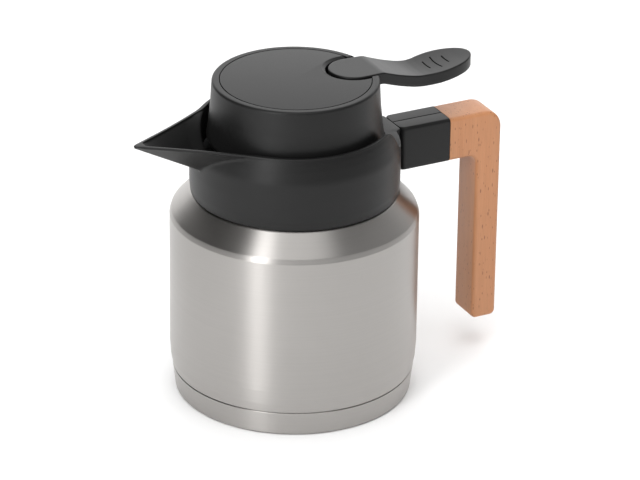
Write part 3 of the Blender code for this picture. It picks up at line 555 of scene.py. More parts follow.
def collar_grid(edge, fillet):
    """Rows of points up the outer skin, over the rim and down the bore."""
    angle = collar_angles()
    top_plain = rim_height(angle)
    edge_radius = np.maximum(50.7, beak_radius(angle, np.full_like(angle, 153.6), 0.0, 0.0))
    edge_x = -edge_radius * np.cos(angle)
    lift = np.where(edge_x < -41.0, beak_rim(edge_x) - 151.3, 0.0)
    top = top_plain + lift
    rows = []

    def outer(z):
        wall = collar_wall(z)
        with_beak = soft_max(wall, beak_radius(angle, z, 0.0, 0.0), fillet)
        y = np.abs(np.sin(angle)) * wall
        facing = np.cos(angle) < 0.0
        side = 1.0 - np.clip((y - ARM_HALF + 2.6) / 4.6, 0.0, 1.0)
        side = side * side * (3.0 - 2.0 * side)
        height = np.clip((z - ARM_LOW.z + 1.5) / 3.0, 0.0, 1.0)
        root = (ARM_LOW.x - 0.12) / np.maximum(-np.cos(angle), 0.2)
        return np.where(facing, with_beak + (np.maximum(root, with_beak) - with_beak) * side * height, with_beak)

    def inner(z):
        bore = 48.0 + 0.9 * np.clip((z - 138.5) / 12.8, 0.0, 1.0)
        return soft_max(bore, beak_radius(angle, z, 1.8, 135.6), 0.8)

    def row(radius, z):
        z = np.broadcast_to(z, angle.shape)
        rows.append(np.stack([-radius * np.cos(angle), radius * np.sin(angle), z], axis=1))

    bottom = 112.6
    for share in np.linspace(0.0, 1.0, 60):
        z = bottom + 0.4 + (top - edge - bottom - 0.4) * share
        row(outer(z), z)
    outer_edge = outer(top - edge)
    for k in range(1, 6):
        turn = math.radians(18.0 * k)
        row(outer_edge - edge * (1.0 - math.cos(turn)), top - edge * (1.0 - math.sin(turn)))
    inner_edge = np.minimum(inner(top - edge), outer_edge - 1.3)
    for k in range(5, 0, -1):
        turn = math.radians(18.0 * k)
        row(inner_edge + edge * 0.6 * (1.0 - math.cos(turn)), top - edge * 0.6 * (1.0 - math.sin(turn)))
    for share in np.linspace(0.0, 1.0, 30):
        z = top - edge + (134.0 - top + edge) * share
        row(np.minimum(inner(z), np.maximum(outer(z) - 1.3, 48.0)), z)
    for radius, z in ((44.4, 133.0), (42.1, 132.2), (42.1, 122.4), (40.5, 122.3), (40.5, 121.1), (44.4, 121.0),
                      (44.4, 112.7), (45.0, bottom), (53.6, bottom)):
        row(np.full_like(angle, radius), z)
    return rows


class POT_OT_collar(bpy.types.Operator):
    """Build the spout collar: round wall, stepped rim, beak and the root of the arm"""

    bl_idname = "pot.collar"
    bl_label = "Spout Collar"

    def execute(self, context):
        sizes = context.scene.pot_sizes
        rows = collar_grid(sizes.rim_edge / MM, sizes.crease_fillet / MM)
        columns = len(rows[0])
        points = np.concatenate(rows)
        item = mesh_from("spout_collar_skin", points, tube_faces(len(rows), columns, closed_rings=True))
        shade(item, 50.0)
        give(item, finish_named("satin_polypropylene"), "pot", "black_plastic", "spout_collar")
        return {"FINISHED"}


# -------------------------------------------------------------- steel pieces
class POT_OT_steel(bpy.types.Operator):
    """Build the steel wall, its base cup and the liner"""

    bl_idname = "pot.steel"
    bl_label = "Steel Body"

    def execute(self, context):
        bend = context.scene.pot_sizes.shoulder_radius / MM
        top = BODY_HIGH.z
        outer = [
            (41.5, top), (41.5, 112.9, 0.3), (42.3, 112.3), (54.0, 112.3, 0.5), (54.55, 112.0, 0.4),
            (BODY_R - 0.9, 101.7, bend), (BODY_R, 99.0, bend), (BODY_R, 26.0, 4.0), (BODY_R - 0.5, 18.5, 4.0),
            (SEAM_R + 0.02, SEAM_Z + 0.55, 0.2), (SEAM_R - 0.25, SEAM_Z + 0.3), (SEAM_R - 0.7, SEAM_Z + 0.3),
            (BODY_R - 1.2, 18.5), (BODY_R - 0.7, 26.0), (BODY_R - 0.7, 99.0), (54.0, 111.5), (40.8, 111.6),
            (40.8, top),
        ]
        steel = finish_named("brushed_stainless")
        give(turned("steel_wall", outer, 256), steel, "pot", "brushed_steel", "outer_shell")
        cup = [
            (0.0, 0.8), (22.3, 0.8), (25.3, 2.8, 1.0), (53.5, 2.8, 1.0), (55.5, 0.9), (60.9, 0.9), (61.5, 1.8),
            (SEAM_R - 0.8, SEAM_Z), (SEAM_R - 0.25, SEAM_Z), (SEAM_R, SEAM_Z - 0.25), (62.2, 0.9, 0.8),
            (61.4, 0.0, 0.5), (55.0, 0.0, 0.5), (53.0, 2.0, 1.0), (26.0, 2.0, 1.0), (23.0, 0.0, 0.5), (0.0, 0.0),
        ]
        give(turned("steel_base", cup, 256), steel, "pot", "brushed_steel", "base_cup")
        liner = [
            (40.5, MOUTH_TOP), (40.5, 107.0), (61.2, 96.0, 3.0), (61.2, 7.8, 8.0), (0.0, 7.8), (0.0, 8.4),
            (60.6, 8.4, 7.4), (60.6, 95.7, 3.0), (39.9, 106.6, 2.0), (39.9, MOUTH_TOP),
        ]
        liner_item = turned("steel_liner", liner, 160)
        give(liner_item, finish_named("rolled_stainless"), "pot", "liner_steel", "inner_flask")
        return {"FINISHED"}


# ------------------------------------------------------------ arm and grip
def arm_levels(radius):
    """Places along an arm cover and how far its side is drawn in at each."""
    levels = []
    for k in range(9):
        turn = math.radians(90.0 * k / 8.0)
        levels.append((ARM_LOW.x + radius * (1.0 - math.cos(turn)), radius * (1.0 - math.sin(turn))))
    return levels + [(ARM_HIGH.x, 0.0)]


class POT_OT_arm(bpy.types.Operator):
    """Build the two half covers of the arm, which meet at a fine line along its top"""

    bl_idname = "pot.arm"
    bl_label = "Handle Arm"

    def execute(self, context):
        edge = context.scene.pot_sizes.arm_edge / MM
        for name, side, node in (("arm_cover_right", -1, "arm_half_right"), ("arm_cover_left", 1, "arm_half_left")):
            rings = []
            for x, inset in arm_levels(context.scene.pot_sizes.arm_end / MM):
                half = ARM_HALF - inset
                corners = [
                    (side * 0.15, ARM_LOW.z + 0.2, 0.15), (side * 0.4, ARM_LOW.z, 0.2), (side * half, ARM_LOW.z, edge),
                    (side * half, ARM_HIGH.z, edge), (side * 0.4, ARM_HIGH.z, 0.2),
                    (side * 0.15, ARM_HIGH.z - 0.25, 0.15),
                ]
                rings.append([(x, y, z) for y, z in rounded(corners, 7)])
            cover = loft(name, rings)
            pocket = prism("pocket", [(-5.3, 118.3), (5.3, 118.3), (5.3, 134.3), (-5.3, 134.3)], "X", 50.0, 72.3)
            ways = [pocket]
            for z in SCREW_HEIGHTS:
                ways.append(prism("way", circle(SCREW_X, z, 1.8, 24), "Y", -8.2, 14.0))
                ways.append(prism("seat", circle(SCREW_X, z, 3.3, SMALL_STEPS), "Y", 7.4, 14.0))
            cut(cover, *ways)
            shade(cover)
            give(cover, finish_named("satin_polypropylene"), "pot", "black_plastic", node)
        return {"FINISHED"}


def grip_outline(inset):
    """Side outline of the grip, drawn in by the given amount."""
    left = GRIP_LOW.x
    outer_x = GRIP_HIGH.x - inset
    inner_x = 102.5 + inset
    top = GRIP_HIGH.z - inset
    under = ARM_LOW.z + inset
    bottom = GRIP_LOW.z + inset
    corner = 10.0 - inset
    foot = max(3.2 - inset, 0.6)
    fillet = 5.0 + inset
    points = [(left, top)]
    points += arc(outer_x - corner, top - corner, corner, 90.0, 0.0, 16)
    points += arc(outer_x - foot, bottom + foot, foot, 0.0, -90.0, 8)
    points += arc(inner_x + foot, bottom + foot, foot, 270.0, 180.0, 8)
    points += arc(inner_x - fillet, under - fillet, fillet, 0.0, 90.0, 12)
    points.append((left, under))
    return points


class POT_OT_grip(bpy.types.Operator):
    """Build the L-shaped wooden grip with softened edges"""

    bl_idname = "pot.grip"
    bl_label = "Wooden Grip"

    def execute(self, context):
        edge = context.scene.pot_sizes.grip_edge / MM
        rings = [[(x, -y, z) for x, z in grip_outline(inset)] for y, inset in grip_levels(edge)]
        rings += [[(x, y, z) for x, z in grip_outline(inset)] for y, inset in reversed(grip_levels(edge))]
        grip = loft("beech_grip", rings)
        bore = prism("bore", [(4.6 * math.cos(a), 126.35 + 4.6 * math.sin(a))
                              for a in np.linspace(0.0, math.tau, 32, endpoint=False)], "X", 80.0, 100.5)
        cut(grip, bore)
        shade(grip, 28.0)
        give(grip, finish_named("oiled_beech"), "pot", "beech", "wooden_grip")
        return {"FINISHED"}


def grip_levels(edge):
    """Depths across the grip and how far its outline is drawn in at each."""
    levels = []
    for k in range(8):
        turn = math.radians(90.0 * k / 7.0)
        levels.append((ARM_HALF - edge * (1.0 - math.cos(turn)), edge * (1.0 - math.sin(turn))))
    return levels


# ----------------------------------------------------------------------- lid
def lever_way(name, radius_low, radius_high, low, high):
    """Cutter round the lever's inner end, open towards the handle, wider at its top."""
    rings = []
    for radius, z in ((radius_low, low), (radius_low, high - 1.0), (radius_high, high), (radius_high, high + 8.0)):
        ring = [(x, y, z) for x, y in arc(PIVOT_X, 0.0, radius, 90.0, 270.0, 64)]
        rings.append(ring + [(60.0, -radius, z), (60.0, radius, z)])
    return loft(name, rings)


class POT_OT_lid(bpy.types.Operator):
    """Build the lid's skirt with its edge ring, and the top panel with the lever's cut-out"""

    bl_idname = "pot.lid"
    bl_label = "Lid"

    def execute(self, context):
        plastic = finish_named("satin_polypropylene")
        ring = PANEL_R + 0.35
        skirt = [
            (ring, LID_TOP - 0.2), (ring + 0.25, LID_TOP, 0.2), (CROWN_R, LID_TOP, 1.6), (CROWN_R + 0.8, 160.0, 30.0),
            (SKIRT_R - 0.9, 149.0, 12.0), (SKIRT_R, 143.6, 0.5), (SKIRT_R - 0.4, 143.0, 0.3), (44.6, 141.8),
            (30.0, 141.8), (30.0, 143.8), (43.2, 143.8, 0.6), (43.3, 149.0), (42.2, 160.0), (41.4, 169.0, 0.6),
            (37.0, 169.0), (37.0, 170.7), (ring, 170.7),
        ]
        shell = turned("lid_skirt", skirt, TURN_STEPS, 8)
        notch = lever_way("notch", 13.9, 14.6, 164.6, LID_TOP + 0.4)
        cut(shell, notch)
        for i in range(3):
            angle = LID_SCREW_TURN + math.tau * i / 3.0
            x, y = LID_SCREW_R * math.cos(angle), LID_SCREW_R * math.sin(angle)
            cut(shell, prism("hole", circle(x, y, 1.9, 24), "Z", 140.0, 150.0))
        shade(shell, 30.0)
        give(shell, plastic, "lid", "black_plastic", "lid_shell")

        disc = [(0.0, LID_TOP), (PANEL_R, LID_TOP, 0.3), (PANEL_R, 171.2), (0.0, 171.2)]
        panel = turned("lid_panel", disc, TURN_STEPS, 4)
        cut(panel, lever_way("cutout", 14.4, 16.2, 165.0, LID_TOP + 0.02))
        shade(panel, 18.0)
        give(panel, plastic, "lid", "black_plastic", "lid_top_panel")

        for side in (-1, 1):
            low_y, high_y = sorted((side * 8.7, side * 11.9))
            crown = arc(PIVOT_X, PIVOT_Z, 3.3, 0.0, 180.0, 24)
            outline = [(PIVOT_X + 4.5, 142.8)] + crown + [(PIVOT_X - 4.5, 142.8)]
            lug = prism("pin_lug_right" if side < 0 else "pin_lug_left", outline, "Y", low_y, high_y, 0.2)
            cut(lug, prism("bore", circle(PIVOT_X, PIVOT_Z, 2.3, SMALL_STEPS), "Y", -14.0, 14.0))
            shade(lug)
            give(lug, plastic, "lid", "black_plastic")
        return {"FINISHED"}


class POT_OT_stopper(bpy.types.Operator):
    """Build the stopper under the lid, with its pouring windows and the gasket"""

    bl_idname = "pot.stopper"
    bl_label = "Stopper"

    def execute(self, context):
        outline = [
            (39.4, 139.5), (39.4, 120.2, 0.4), (38.9, 118.9), (36.6, 118.9), (36.6, 114.9), (38.0, 114.6, 0.2),
            (38.0, 113.4, 0.3), (34.0, 113.4, 0.5), (34.0, 116.4, 0.8), (10.0, 116.4, 0.5), (10.0, 119.0, 0.4),
            (14.0, 119.0, 0.4), (36.9, 120.6, 1.0), (36.9, 139.5), (4.4, 139.5), (4.4, 141.5), (44.4, 141.5, 0.4),
            (44.4, 139.5, 0.4),
        ]
        stopper = turned("stopper", outline, 160, 4)
        for i in range(6):
            turn = Matrix.Rotation(math.tau * i / 6.0, 4, "Z")
            corners = rounded([(-12.0, 131.4, 1.2), (12.0, 131.4, 1.2), (12.0, 138.2, 1.2), (-12.0, 138.2, 1.2)])
            window = prism("window", corners, "X", 30.0, 43.0)
            window.data.transform(turn)
            cut(stopper, window)
        shade(stopper)
        give(stopper, finish_named("satin_polypropylene"), "lid", "black_plastic", "stopper_body")
        ring = [
            (38.9, 118.4, 0.2), (39.6, 117.8, 0.3), (38.8, 116.8, 0.3), (39.6, 115.8, 0.3), (38.9, 115.2, 0.2),
            (36.9, 115.2), (36.9, 118.4),
        ]
        gasket = turned("gasket", ring, 128)
        give(gasket, finish_named("moulded_silicone"), "gasket", "silicone", "lid_gasket")
        return {"FINISHED"}


# --------------------------------------------------------------- repetition
def start_tree(name, sockets):
    """Geometry nodes group with named inputs, each as kind and default, and its input node."""
    tree = bpy.data.node_groups.new(name, "GeometryNodeTree")
    face = tree.interface
    face.new_socket("Geometry", in_out="INPUT", socket_type="NodeSocketGeometry")
    for title, (kind, value) in sockets.items():
        socket = face.new_socket(title, in_out="INPUT", socket_type="NodeSocket" + kind)
        if value is not None:
            socket.default_value = value
    face.new_socket("Material", in_out="INPUT", socket_type="NodeSocketMaterial")
    face.new_socket("Geometry", in_out="OUTPUT", socket_type="NodeSocketGeometry")
    return tree, add_node(tree, "NodeGroupInput")


def ridge_tree():
    """Geometry nodes: round ridges along a helix, repeated round the axis.

    Lengths are in metres and Turn is in degrees.
    """
    tree, given = start_tree("thread_ridges", {
        "Radius": ("Float", 0.04), "Low": ("Float", 0.12), "Rise": ("Float", 0.0033), "Turn": ("Float", 60.0),
        "Thickness": ("Float", 0.0013), "Starts": ("Int", 3)})
    turns = add_node(tree, "ShaderNodeMath", {"operation": "DIVIDE"}, {1: 360.0}, {0: given.outputs["Turn"]})
    spiral = add_node(tree, "GeometryNodeCurveSpiral", inputs={"Resolution": 240},
                      links={"Rotations": turns.outputs[0], "Start Radius": given.outputs["Radius"],
                             "End Radius": given.outputs["Radius"], "Height": given.outputs["Rise"]})
    lift = add_node(tree, "ShaderNodeCombineXYZ", links={"Z": given.outputs["Low"]})
    placed = add_node(tree, "GeometryNodeTransform",
                      links={"Geometry": spiral.outputs["Curve"], "Translation": lift.outputs["Vector"]})
    section = add_node(tree, "GeometryNodeCurvePrimitiveCircle", inputs={"Resolution": 16},
                       links={"Radius": given.outputs["Thickness"]})
    rod = add_node(tree, "GeometryNodeCurveToMesh", inputs={"Fill Caps": True},
                   links={"Curve": placed.outputs["Geometry"], "Profile Curve": section.outputs["Curve"]})
    around = add_node(tree, "GeometryNodeMeshLine", inputs={"Offset": (0.0, 0.0, 0.0)},
                      links={"Count": given.outputs["Starts"]})
    number = add_node(tree, "GeometryNodeInputIndex")
    step = add_node(tree, "ShaderNodeMath", {"operation": "DIVIDE"}, {0: math.tau}, {1: given.outputs["Starts"]})
    angle = add_node(tree, "ShaderNodeMath", {"operation": "MULTIPLY"},
                     links={0: number.outputs["Index"], 1: step.outputs[0]})
    turn = add_node(tree, "ShaderNodeCombineXYZ", links={"Z": angle.outputs[0]})
    copies = add_node(tree, "GeometryNodeInstanceOnPoints",
                      links={"Points": around.outputs["Mesh"], "Instance": rod.outputs["Mesh"],
                             "Rotation": turn.outputs["Vector"]})
    return finish_tree(tree, given, copies.outputs["Instances"])


def screw_tree():
    """Geometry nodes: one screw, given as the object's own mesh, on each place of a line."""
    tree, given = start_tree("screws", {
        "Count": ("Int", 3), "First": ("Vector", None), "Spacing": ("Vector", None), "Turn": ("Float", 0.0)})
    places = add_node(tree, "GeometryNodeMeshLine",
                      links={"Count": given.outputs["Count"], "Start Location": given.outputs["First"],
                             "Offset": given.outputs["Spacing"]})
    number = add_node(tree, "GeometryNodeInputIndex")
    angle = add_node(tree, "ShaderNodeMath", {"operation": "MULTIPLY"},
                     links={0: number.outputs["Index"], 1: given.outputs["Turn"]})
    where = add_node(tree, "GeometryNodeInputPosition")
    spun = add_node(tree, "ShaderNodeVectorRotate", {"rotation_type": "Z_AXIS"},
                    links={"Vector": where.outputs["Position"], "Angle": angle.outputs[0]})
    moved = add_node(tree, "GeometryNodeSetPosition",
                     links={"Geometry": places.outputs["Mesh"], "Position": spun.outputs["Vector"]})
    copies = add_node(tree, "GeometryNodeInstanceOnPoints",
                      links={"Points": moved.outputs["Geometry"], "Instance": given.outputs["Geometry"]})
    return finish_tree(tree, given, copies.outputs["Instances"])


def finish_tree(tree, given, instances):
    """Realise the copies and give them their material."""
    real = add_node(tree, "GeometryNodeRealizeInstances", links={"Geometry": instances})
    painted = add_node(tree, "GeometryNodeSetMaterial",
                       links={"Geometry": real.outputs["Geometry"], "Material": given.outputs["Material"]})
    add_node(tree, "NodeGroupOutput", links={"Geometry": painted.outputs["Geometry"]})
    return tree


def grow(item, tree, **values):
    """Run a geometry nodes tree on an object and keep the result as a plain mesh."""
    change = item.modifiers.new("Grow", "NODES")
    change.node_group = tree
    names = {socket.name: socket.identifier for socket in tree.interface.items_tree
             if socket.in_out == "INPUT"}
    for name, value in values.items():
        change[names[name]] = value
    plain_mesh(item)
    if not item.data.polygons:
        raise RuntimeError("%s has no faces after its geometry nodes" % item.name)
    clean(item.data)
    shade(item, 40.0)
    return item


class POT_OT_threads(bpy.types.Operator):
    """Grow the thread ridges of the collar and of the stopper"""

    bl_idname = "pot.threads"
    bl_label = "Thread Ridges"

    def execute(self, context):
        tree = ridge_tree()
        plastic = finish_named("satin_polypropylene")
        starts = context.scene.pot_sizes.thread_starts
        for name, body, radius, low in (("collar_thread", "pot", 41.3, 126.9), ("stopper_thread", "lid", 40.3, 123.8)):
            item = add_object(name, bpy.data.meshes.new(name))
            grow(item, tree, Radius=radius * MM, Low=low * MM, Rise=20.0 * MM / 6.0, Turn=60.0,
                 Thickness=1.3 * MM, Starts=starts, Material=plastic)
            give(item, plastic, body, "black_plastic")
        return {"FINISHED"}


def screw_mesh(name, head_r, head_low, head_high, shank_r, tip):
    """Pan head screw with a hexagon recess, upright at the origin."""
    outline = [
        (0.0, head_high), (head_r - 0.8, head_high, 0.4), (head_r, head_high - 0.7, 0.4), (head_r, head_low, 0.1),
        (shank_r, head_low), (shank_r, tip + 0.7), (shank_r - 0.6, tip), (0.0, tip),
    ]
    item = turned(name, outline, SMALL_STEPS, 3)
    recess = prism("recess", circle(0.0, 0.0, 1.35, 6), "Z", head_high - 1.2, head_high + 2.0)
    cut(item, recess)
    return item


class POT_OT_screws(bpy.types.Operator):
    """Make the arm's two screws and the lid's three from one screw each"""

    bl_idname = "pot.screws"
    bl_label = "Screws"

    def execute(self, context):
        tree = screw_tree()
        bright = finish_named("bright_stainless")
        arm = screw_mesh("arm_screws", 3.0, 7.7, 9.7, 1.5, -7.9)
        arm.data.transform(Matrix.Rotation(math.radians(-90.0), 4, "X"))
        rise = (SCREW_HEIGHTS[1] - SCREW_HEIGHTS[0]) * MM
        grow(arm, tree, Count=2, First=(SCREW_X * MM, 0.0, SCREW_HEIGHTS[0] * MM), Spacing=(0.0, 0.0, rise),
             Turn=0.0, Material=bright)
        give(arm, bright, "pot", "screw_steel", "arm_screw_lower", "arm_screw_upper")
        lid = screw_mesh("lid_screws", 3.0, 144.1, 146.2, 1.5, 138.4)
        reach = LID_SCREW_R * MM
        first = (reach * math.cos(LID_SCREW_TURN), reach * math.sin(LID_SCREW_TURN), 0.0)
        grow(lid, tree, Count=3, First=first, Spacing=(0.0, 0.0, 0.0), Turn=math.tau / 3.0, Material=bright)
        give(lid, bright, "lid", "screw_steel", "lid_screw_1", "lid_screw_2", "lid_screw_3")
        return {"FINISHED"}


# --------------------------------------------------------------------- lever
def lever_half_width(x):
    """Half width of the lever seen from above."""
    round_end = np.sqrt(np.maximum(LEVER_END_R ** 2 - (x - PIVOT_X) ** 2, 0.0))
    to_waist = 12.9 - 0.8 * (1.0 - np.cos(math.pi * np.clip((x - PIVOT_X) / (68.0 - PIVOT_X), 0.0, 1.0)))
    to_widest = 11.3 + 0.8 * (1.0 - np.cos(math.pi * np.clip((x - 68.0) / 12.5, 0.0, 1.0)))
    tip = 12.9 * np.sqrt(np.maximum(1.0 - ((x - 80.5) / (LEVER_TIP_X - 80.5)) ** 2, 0.0))
    return np.where(x < PIVOT_X, round_end, np.where(x < 68.0, to_waist, np.where(x < 80.5, to_widest, tip)))


def lever_top(x, y):
    """Height of the lever's top: flat over the lid, a crest, a dip and a raised dished tip."""
    stations = [0.0, 43.5, 45.2, 47.0, 49.5, 52.0, 55.0, 58.5, 62.0, 65.5, 69.0, 73.0, 78.0, 84.0, 90.0, 96.0, 104.0]
    heights = [173.7, 173.7, 173.45, 172.8, 171.9, 171.05, 170.1, 169.15, 168.3, 167.65, 167.3, 167.45, 168.0, 168.85,
               169.75, 170.6, 171.6]
    spine = np.interp(x, stations, heights)
    reach = np.clip((x - 50.0) / 14.0, 0.0, 1.0) * np.clip((LEVER_TIP_X + 4.0 - x) / 12.0, 0.0, 1.0)
    across = np.clip(np.abs(y) / 12.9, 0.0, 1.0)
    return spine - 0.55 * reach * (1.0 - across ** 2)


def lever_ring(inset=0.0, share=None, count=240):
    """Closed plan outline drawn in towards the lever's middle line.

    The inset is in millimetres; a share of 1 draws it in onto the line itself.
    """
    first = PIVOT_X - LEVER_END_R
    middle = 0.5 * (first + LEVER_TIP_X)
    half = 0.5 * (LEVER_TIP_X - first)
    turn = np.linspace(0.0, math.tau, count, endpoint=False)
    x = middle + half * np.cos(turn)
    y = lever_half_width(x) * np.sign(np.round(np.sin(turn), 9))
    line = np.clip(x, PIVOT_X, LEVER_TIP_X - LEVER_END_R)
    reach = np.maximum(np.hypot(x - line, y), 0.001)
    drawn = share if share is not None else inset / reach
    return x + (line - x) * drawn, y - y * drawn


def lever_skin(name, edge):
    """Hollow paddle: dished top, rounded edge, outer wall, and the hollow below."""
    height = LEVER_HEIGHT
    wall = 1.8
    rings = []

    def ring(drop, inset=0.0, share=None):
        x, y = lever_ring(inset, share)
        rings.append(list(zip(x, y, lever_top(x, y) - drop)))

    for share in (1.0, 0.88, 0.76, 0.64, 0.52, 0.42, 0.33, 0.25, 0.18, 0.12):
        ring(0.0, share=share)
    for k in range(7):
        turn = math.radians(15.0 * k)
        ring(edge * (1.0 - math.cos(turn)), inset=edge * (1.0 - math.sin(turn)))
    for drop in (1.6, 3.0, 4.6, height - 0.4):
        ring(drop)
    for drop, inset in ((height - 0.1, 0.12), (height, 0.4), (height, wall - 0.3), (height - 0.3, wall),
                        (2.6, wall), (2.0, wall + 0.5)):
        ring(drop, inset=inset)
    for share in (0.3, 0.5, 0.75, 1.0):
        ring(2.0, share=share)
    return loft(name, rings, caps=False)


def groove_tools(width):
    """Three thin bowed slots with square ends across the thumb dish."""
    tools = []
    for x, reach, bow in ((76.2, 4.6, 0.3), (81.8, 7.0, 0.8), (87.2, 4.3, 0.3)):
        points = []
        for y in np.linspace(-reach, reach, 15):
            points.append((x - bow * (1.0 - (y / reach) ** 2), y))
        half = 0.5 * width
        outline = [(px - half, py) for px, py in points] + [(px + half, py) for px, py in reversed(points)]
        z = float(lever_top(x, 0.0))
        tools.append(prism("groove", outline, "Z", z - 0.75, z + 3.0))
    return tools


class POT_OT_lever(bpy.types.Operator):
    """Build the thumb lever with its dish, grooves, rib and hidden lifting fork"""

    bl_idname = "pot.lever"
    bl_label = "Thumb Lever"

    def execute(self, context):
        sizes = context.scene.pot_sizes
        plastic = finish_named("smooth_polypropylene")
        skin = lever_skin("lever_paddle", sizes.lever_edge / MM)
        cut(skin, *groove_tools(sizes.groove_width / MM))
        shade(skin, 32.0)
        give(skin, plastic, "lever", "lever_plastic", "pour_lever")

        stations = np.linspace(42.0, 98.0, 30)
        upper = [(x, float(lever_top(x, 0.0)) - 1.4) for x in stations]
        lower = [(x, float(lever_top(x, 0.0)) - 5.3) for x in reversed(stations)]
        give(prism("lever_rib", upper + lower, "Y", -0.8, 0.8, 0.1), plastic, "lever", "lever_plastic")

        hub = [(PIVOT_X - 5.0, 172.2), (PIVOT_X + 6.0, 172.2), (PIVOT_X + 6.0, 164.0)]
        hub += arc(PIVOT_X, PIVOT_Z, 4.6, 0.0, -120.0, 16)
        hub += [(27.0, 157.0), (6.5, 153.2), (2.6, 153.2), (2.6, 156.4), (8.0, 157.2), (22.0, 162.5), (25.5, 166.2)]
        body = prism("lever_hub", hub, "Y", -8.3, 8.3, 0.2)
        cut(body, prism("slot", [(-4.0, -3.4), (4.2, -3.4), (4.2, 3.4), (-4.0, 3.4)], "Z", 150.0, 160.0),
            prism("bore", circle(PIVOT_X, PIVOT_Z, 2.1, SMALL_STEPS), "Y", -9.0, 9.0))
        shade(body)
        give(body, plastic, "lever", "lever_plastic")
        for side in (-1, 1):
            low_y, high_y = sorted((side * 3.5, side * 6.8))
            name = "fork_prong_right" if side < 0 else "fork_prong_left"
            prong = prism(name, circle(0.0, 155.6, 2.4, SMALL_STEPS), "Y", low_y, high_y, 0.3)
            root = prism("root", [(0.0, 153.4), (7.0, 153.4), (7.0, 156.0), (0.0, 156.0)], "Y", low_y, high_y)
            cut(prong, root, operation="UNION")
            shade(prong)
            give(prong, plastic, "lever", "lever_plastic")
        return {"FINISHED"}


# ------------------------------------------------------------- inner pieces
class POT_OT_hidden(bpy.types.Operator):
    """Give the hidden pieces, whose shapes stay as they are, their finishes"""

    bl_idname = "pot.hidden"
    bl_label = "Hidden Pieces"

    def execute(self, context):
        finishes = {
            "bright_stainless": ("vacuum_seal", "getter", "grip_bolt", "grip_dowel_lower", "grip_dowel_upper",
                                 "lever_pin", "valve_spring"),
            "rolled_stainless": ("outer_bottom",),
            "moulded_silicone": ("neck_seal", "valve_seal"),
            "natural_acetal": ("collar_lock_ring", "stem_guide", "valve_stem", "valve_disc", "stem_head"),
            "turned_brass": ("grip_insert",),
        }
        for finish, nodes in finishes.items():
            for node in nodes:
                dress_node(node, finish_named(finish))
        return {"FINISHED"}


# --------------------------------------------------------------------- stage
class PotStage(bpy.types.PropertyGroup):
    """The camera's place and the studio lights."""

    lens: FloatProperty(name="Lens Length", description="Focal length in millimetres", default=225.0)
    azimuth: FloatProperty(name="Azimuth", description="Camera angle round the pot", default=math.radians(26.94),
                           subtype="ANGLE")
    elevation: FloatProperty(name="Elevation", description="Camera angle above the floor",
                             default=math.radians(25.938), subtype="ANGLE")
    place: FloatVectorProperty(name="Camera Place", description="Where the camera stands", size=3,
                               default=(-0.8515, -1.6755, 0.9922), subtype="XYZ")
    strip_power: FloatProperty(name="Strip Power", description="Power of the tall strip light", default=9.0, min=0.0)
    fill_power: FloatProperty(name="Fill Power", description="Power of the overhead fill", default=44.0, min=0.0)
    base: FloatProperty(name="Surround", description="Brightness of the dim surround", default=0.30, min=0.0)
    bright: FloatProperty(name="Front Softbox", description="Brightness above the front", default=1.6, min=0.0)
    back: FloatProperty(name="Back Wall", description="Brightness behind the pot", default=1.7, min=0.0)
    dark: FloatProperty(name="Dark Card", description="Brightness left of the pot", default=0.04, min=0.0)


def area_light(name, place, target, width, height, power):
    """Rectangular softbox aimed at a point."""
    data = bpy.data.lights.new(name, "AREA")
    data.shape = "RECTANGLE"
    data.size = width
    data.size_y = height
    data.energy = power
    lamp = bpy.data.objects.new(name, data)
    bpy.context.scene.collection.objects.link(lamp)
    lamp.location = place
    lamp.rotation_euler = (Vector(target) - Vector(place)).to_track_quat("-Z", "Y").to_euler()
    return lamp


def studio_camera(stage):
    """Camera at the pot's left front, looking down; small pan, tilt and roll level the view."""
    azimuth, elevation = stage.azimuth, stage.elevation
    pan, tilt, roll = math.radians(0.371), math.radians(0.100), math.radians(-0.600)
    forward = Vector((math.cos(elevation) * math.sin(azimuth), math.cos(elevation) * math.cos(azimuth),
                      -math.sin(elevation)))
    right = Vector((math.cos(azimuth), -math.sin(azimuth), 0.0))
    up = right.cross(forward)
    right, forward = (right * math.cos(pan) - forward * math.sin(pan), right * math.sin(pan) + forward * math.cos(pan))
    up, forward = (up * math.cos(tilt) - forward * math.sin(tilt), up * math.sin(tilt) + forward * math.cos(tilt))
    right, up = (right * math.cos(roll) - up * math.sin(roll), right * math.sin(roll) + up * math.cos(roll))
    data = bpy.data.cameras.new("studio_camera")
    data.lens = stage.lens
    data.sensor_width = 36.0
    camera = bpy.data.objects.new("studio_camera", data)
    bpy.context.scene.collection.objects.link(camera)
    turn = Matrix((right, up, -forward)).transposed().to_4x4()
    camera.matrix_world = Matrix.Translation(Vector(stage.place)) @ turn
    bpy.context.scene.camera = camera
    return camera


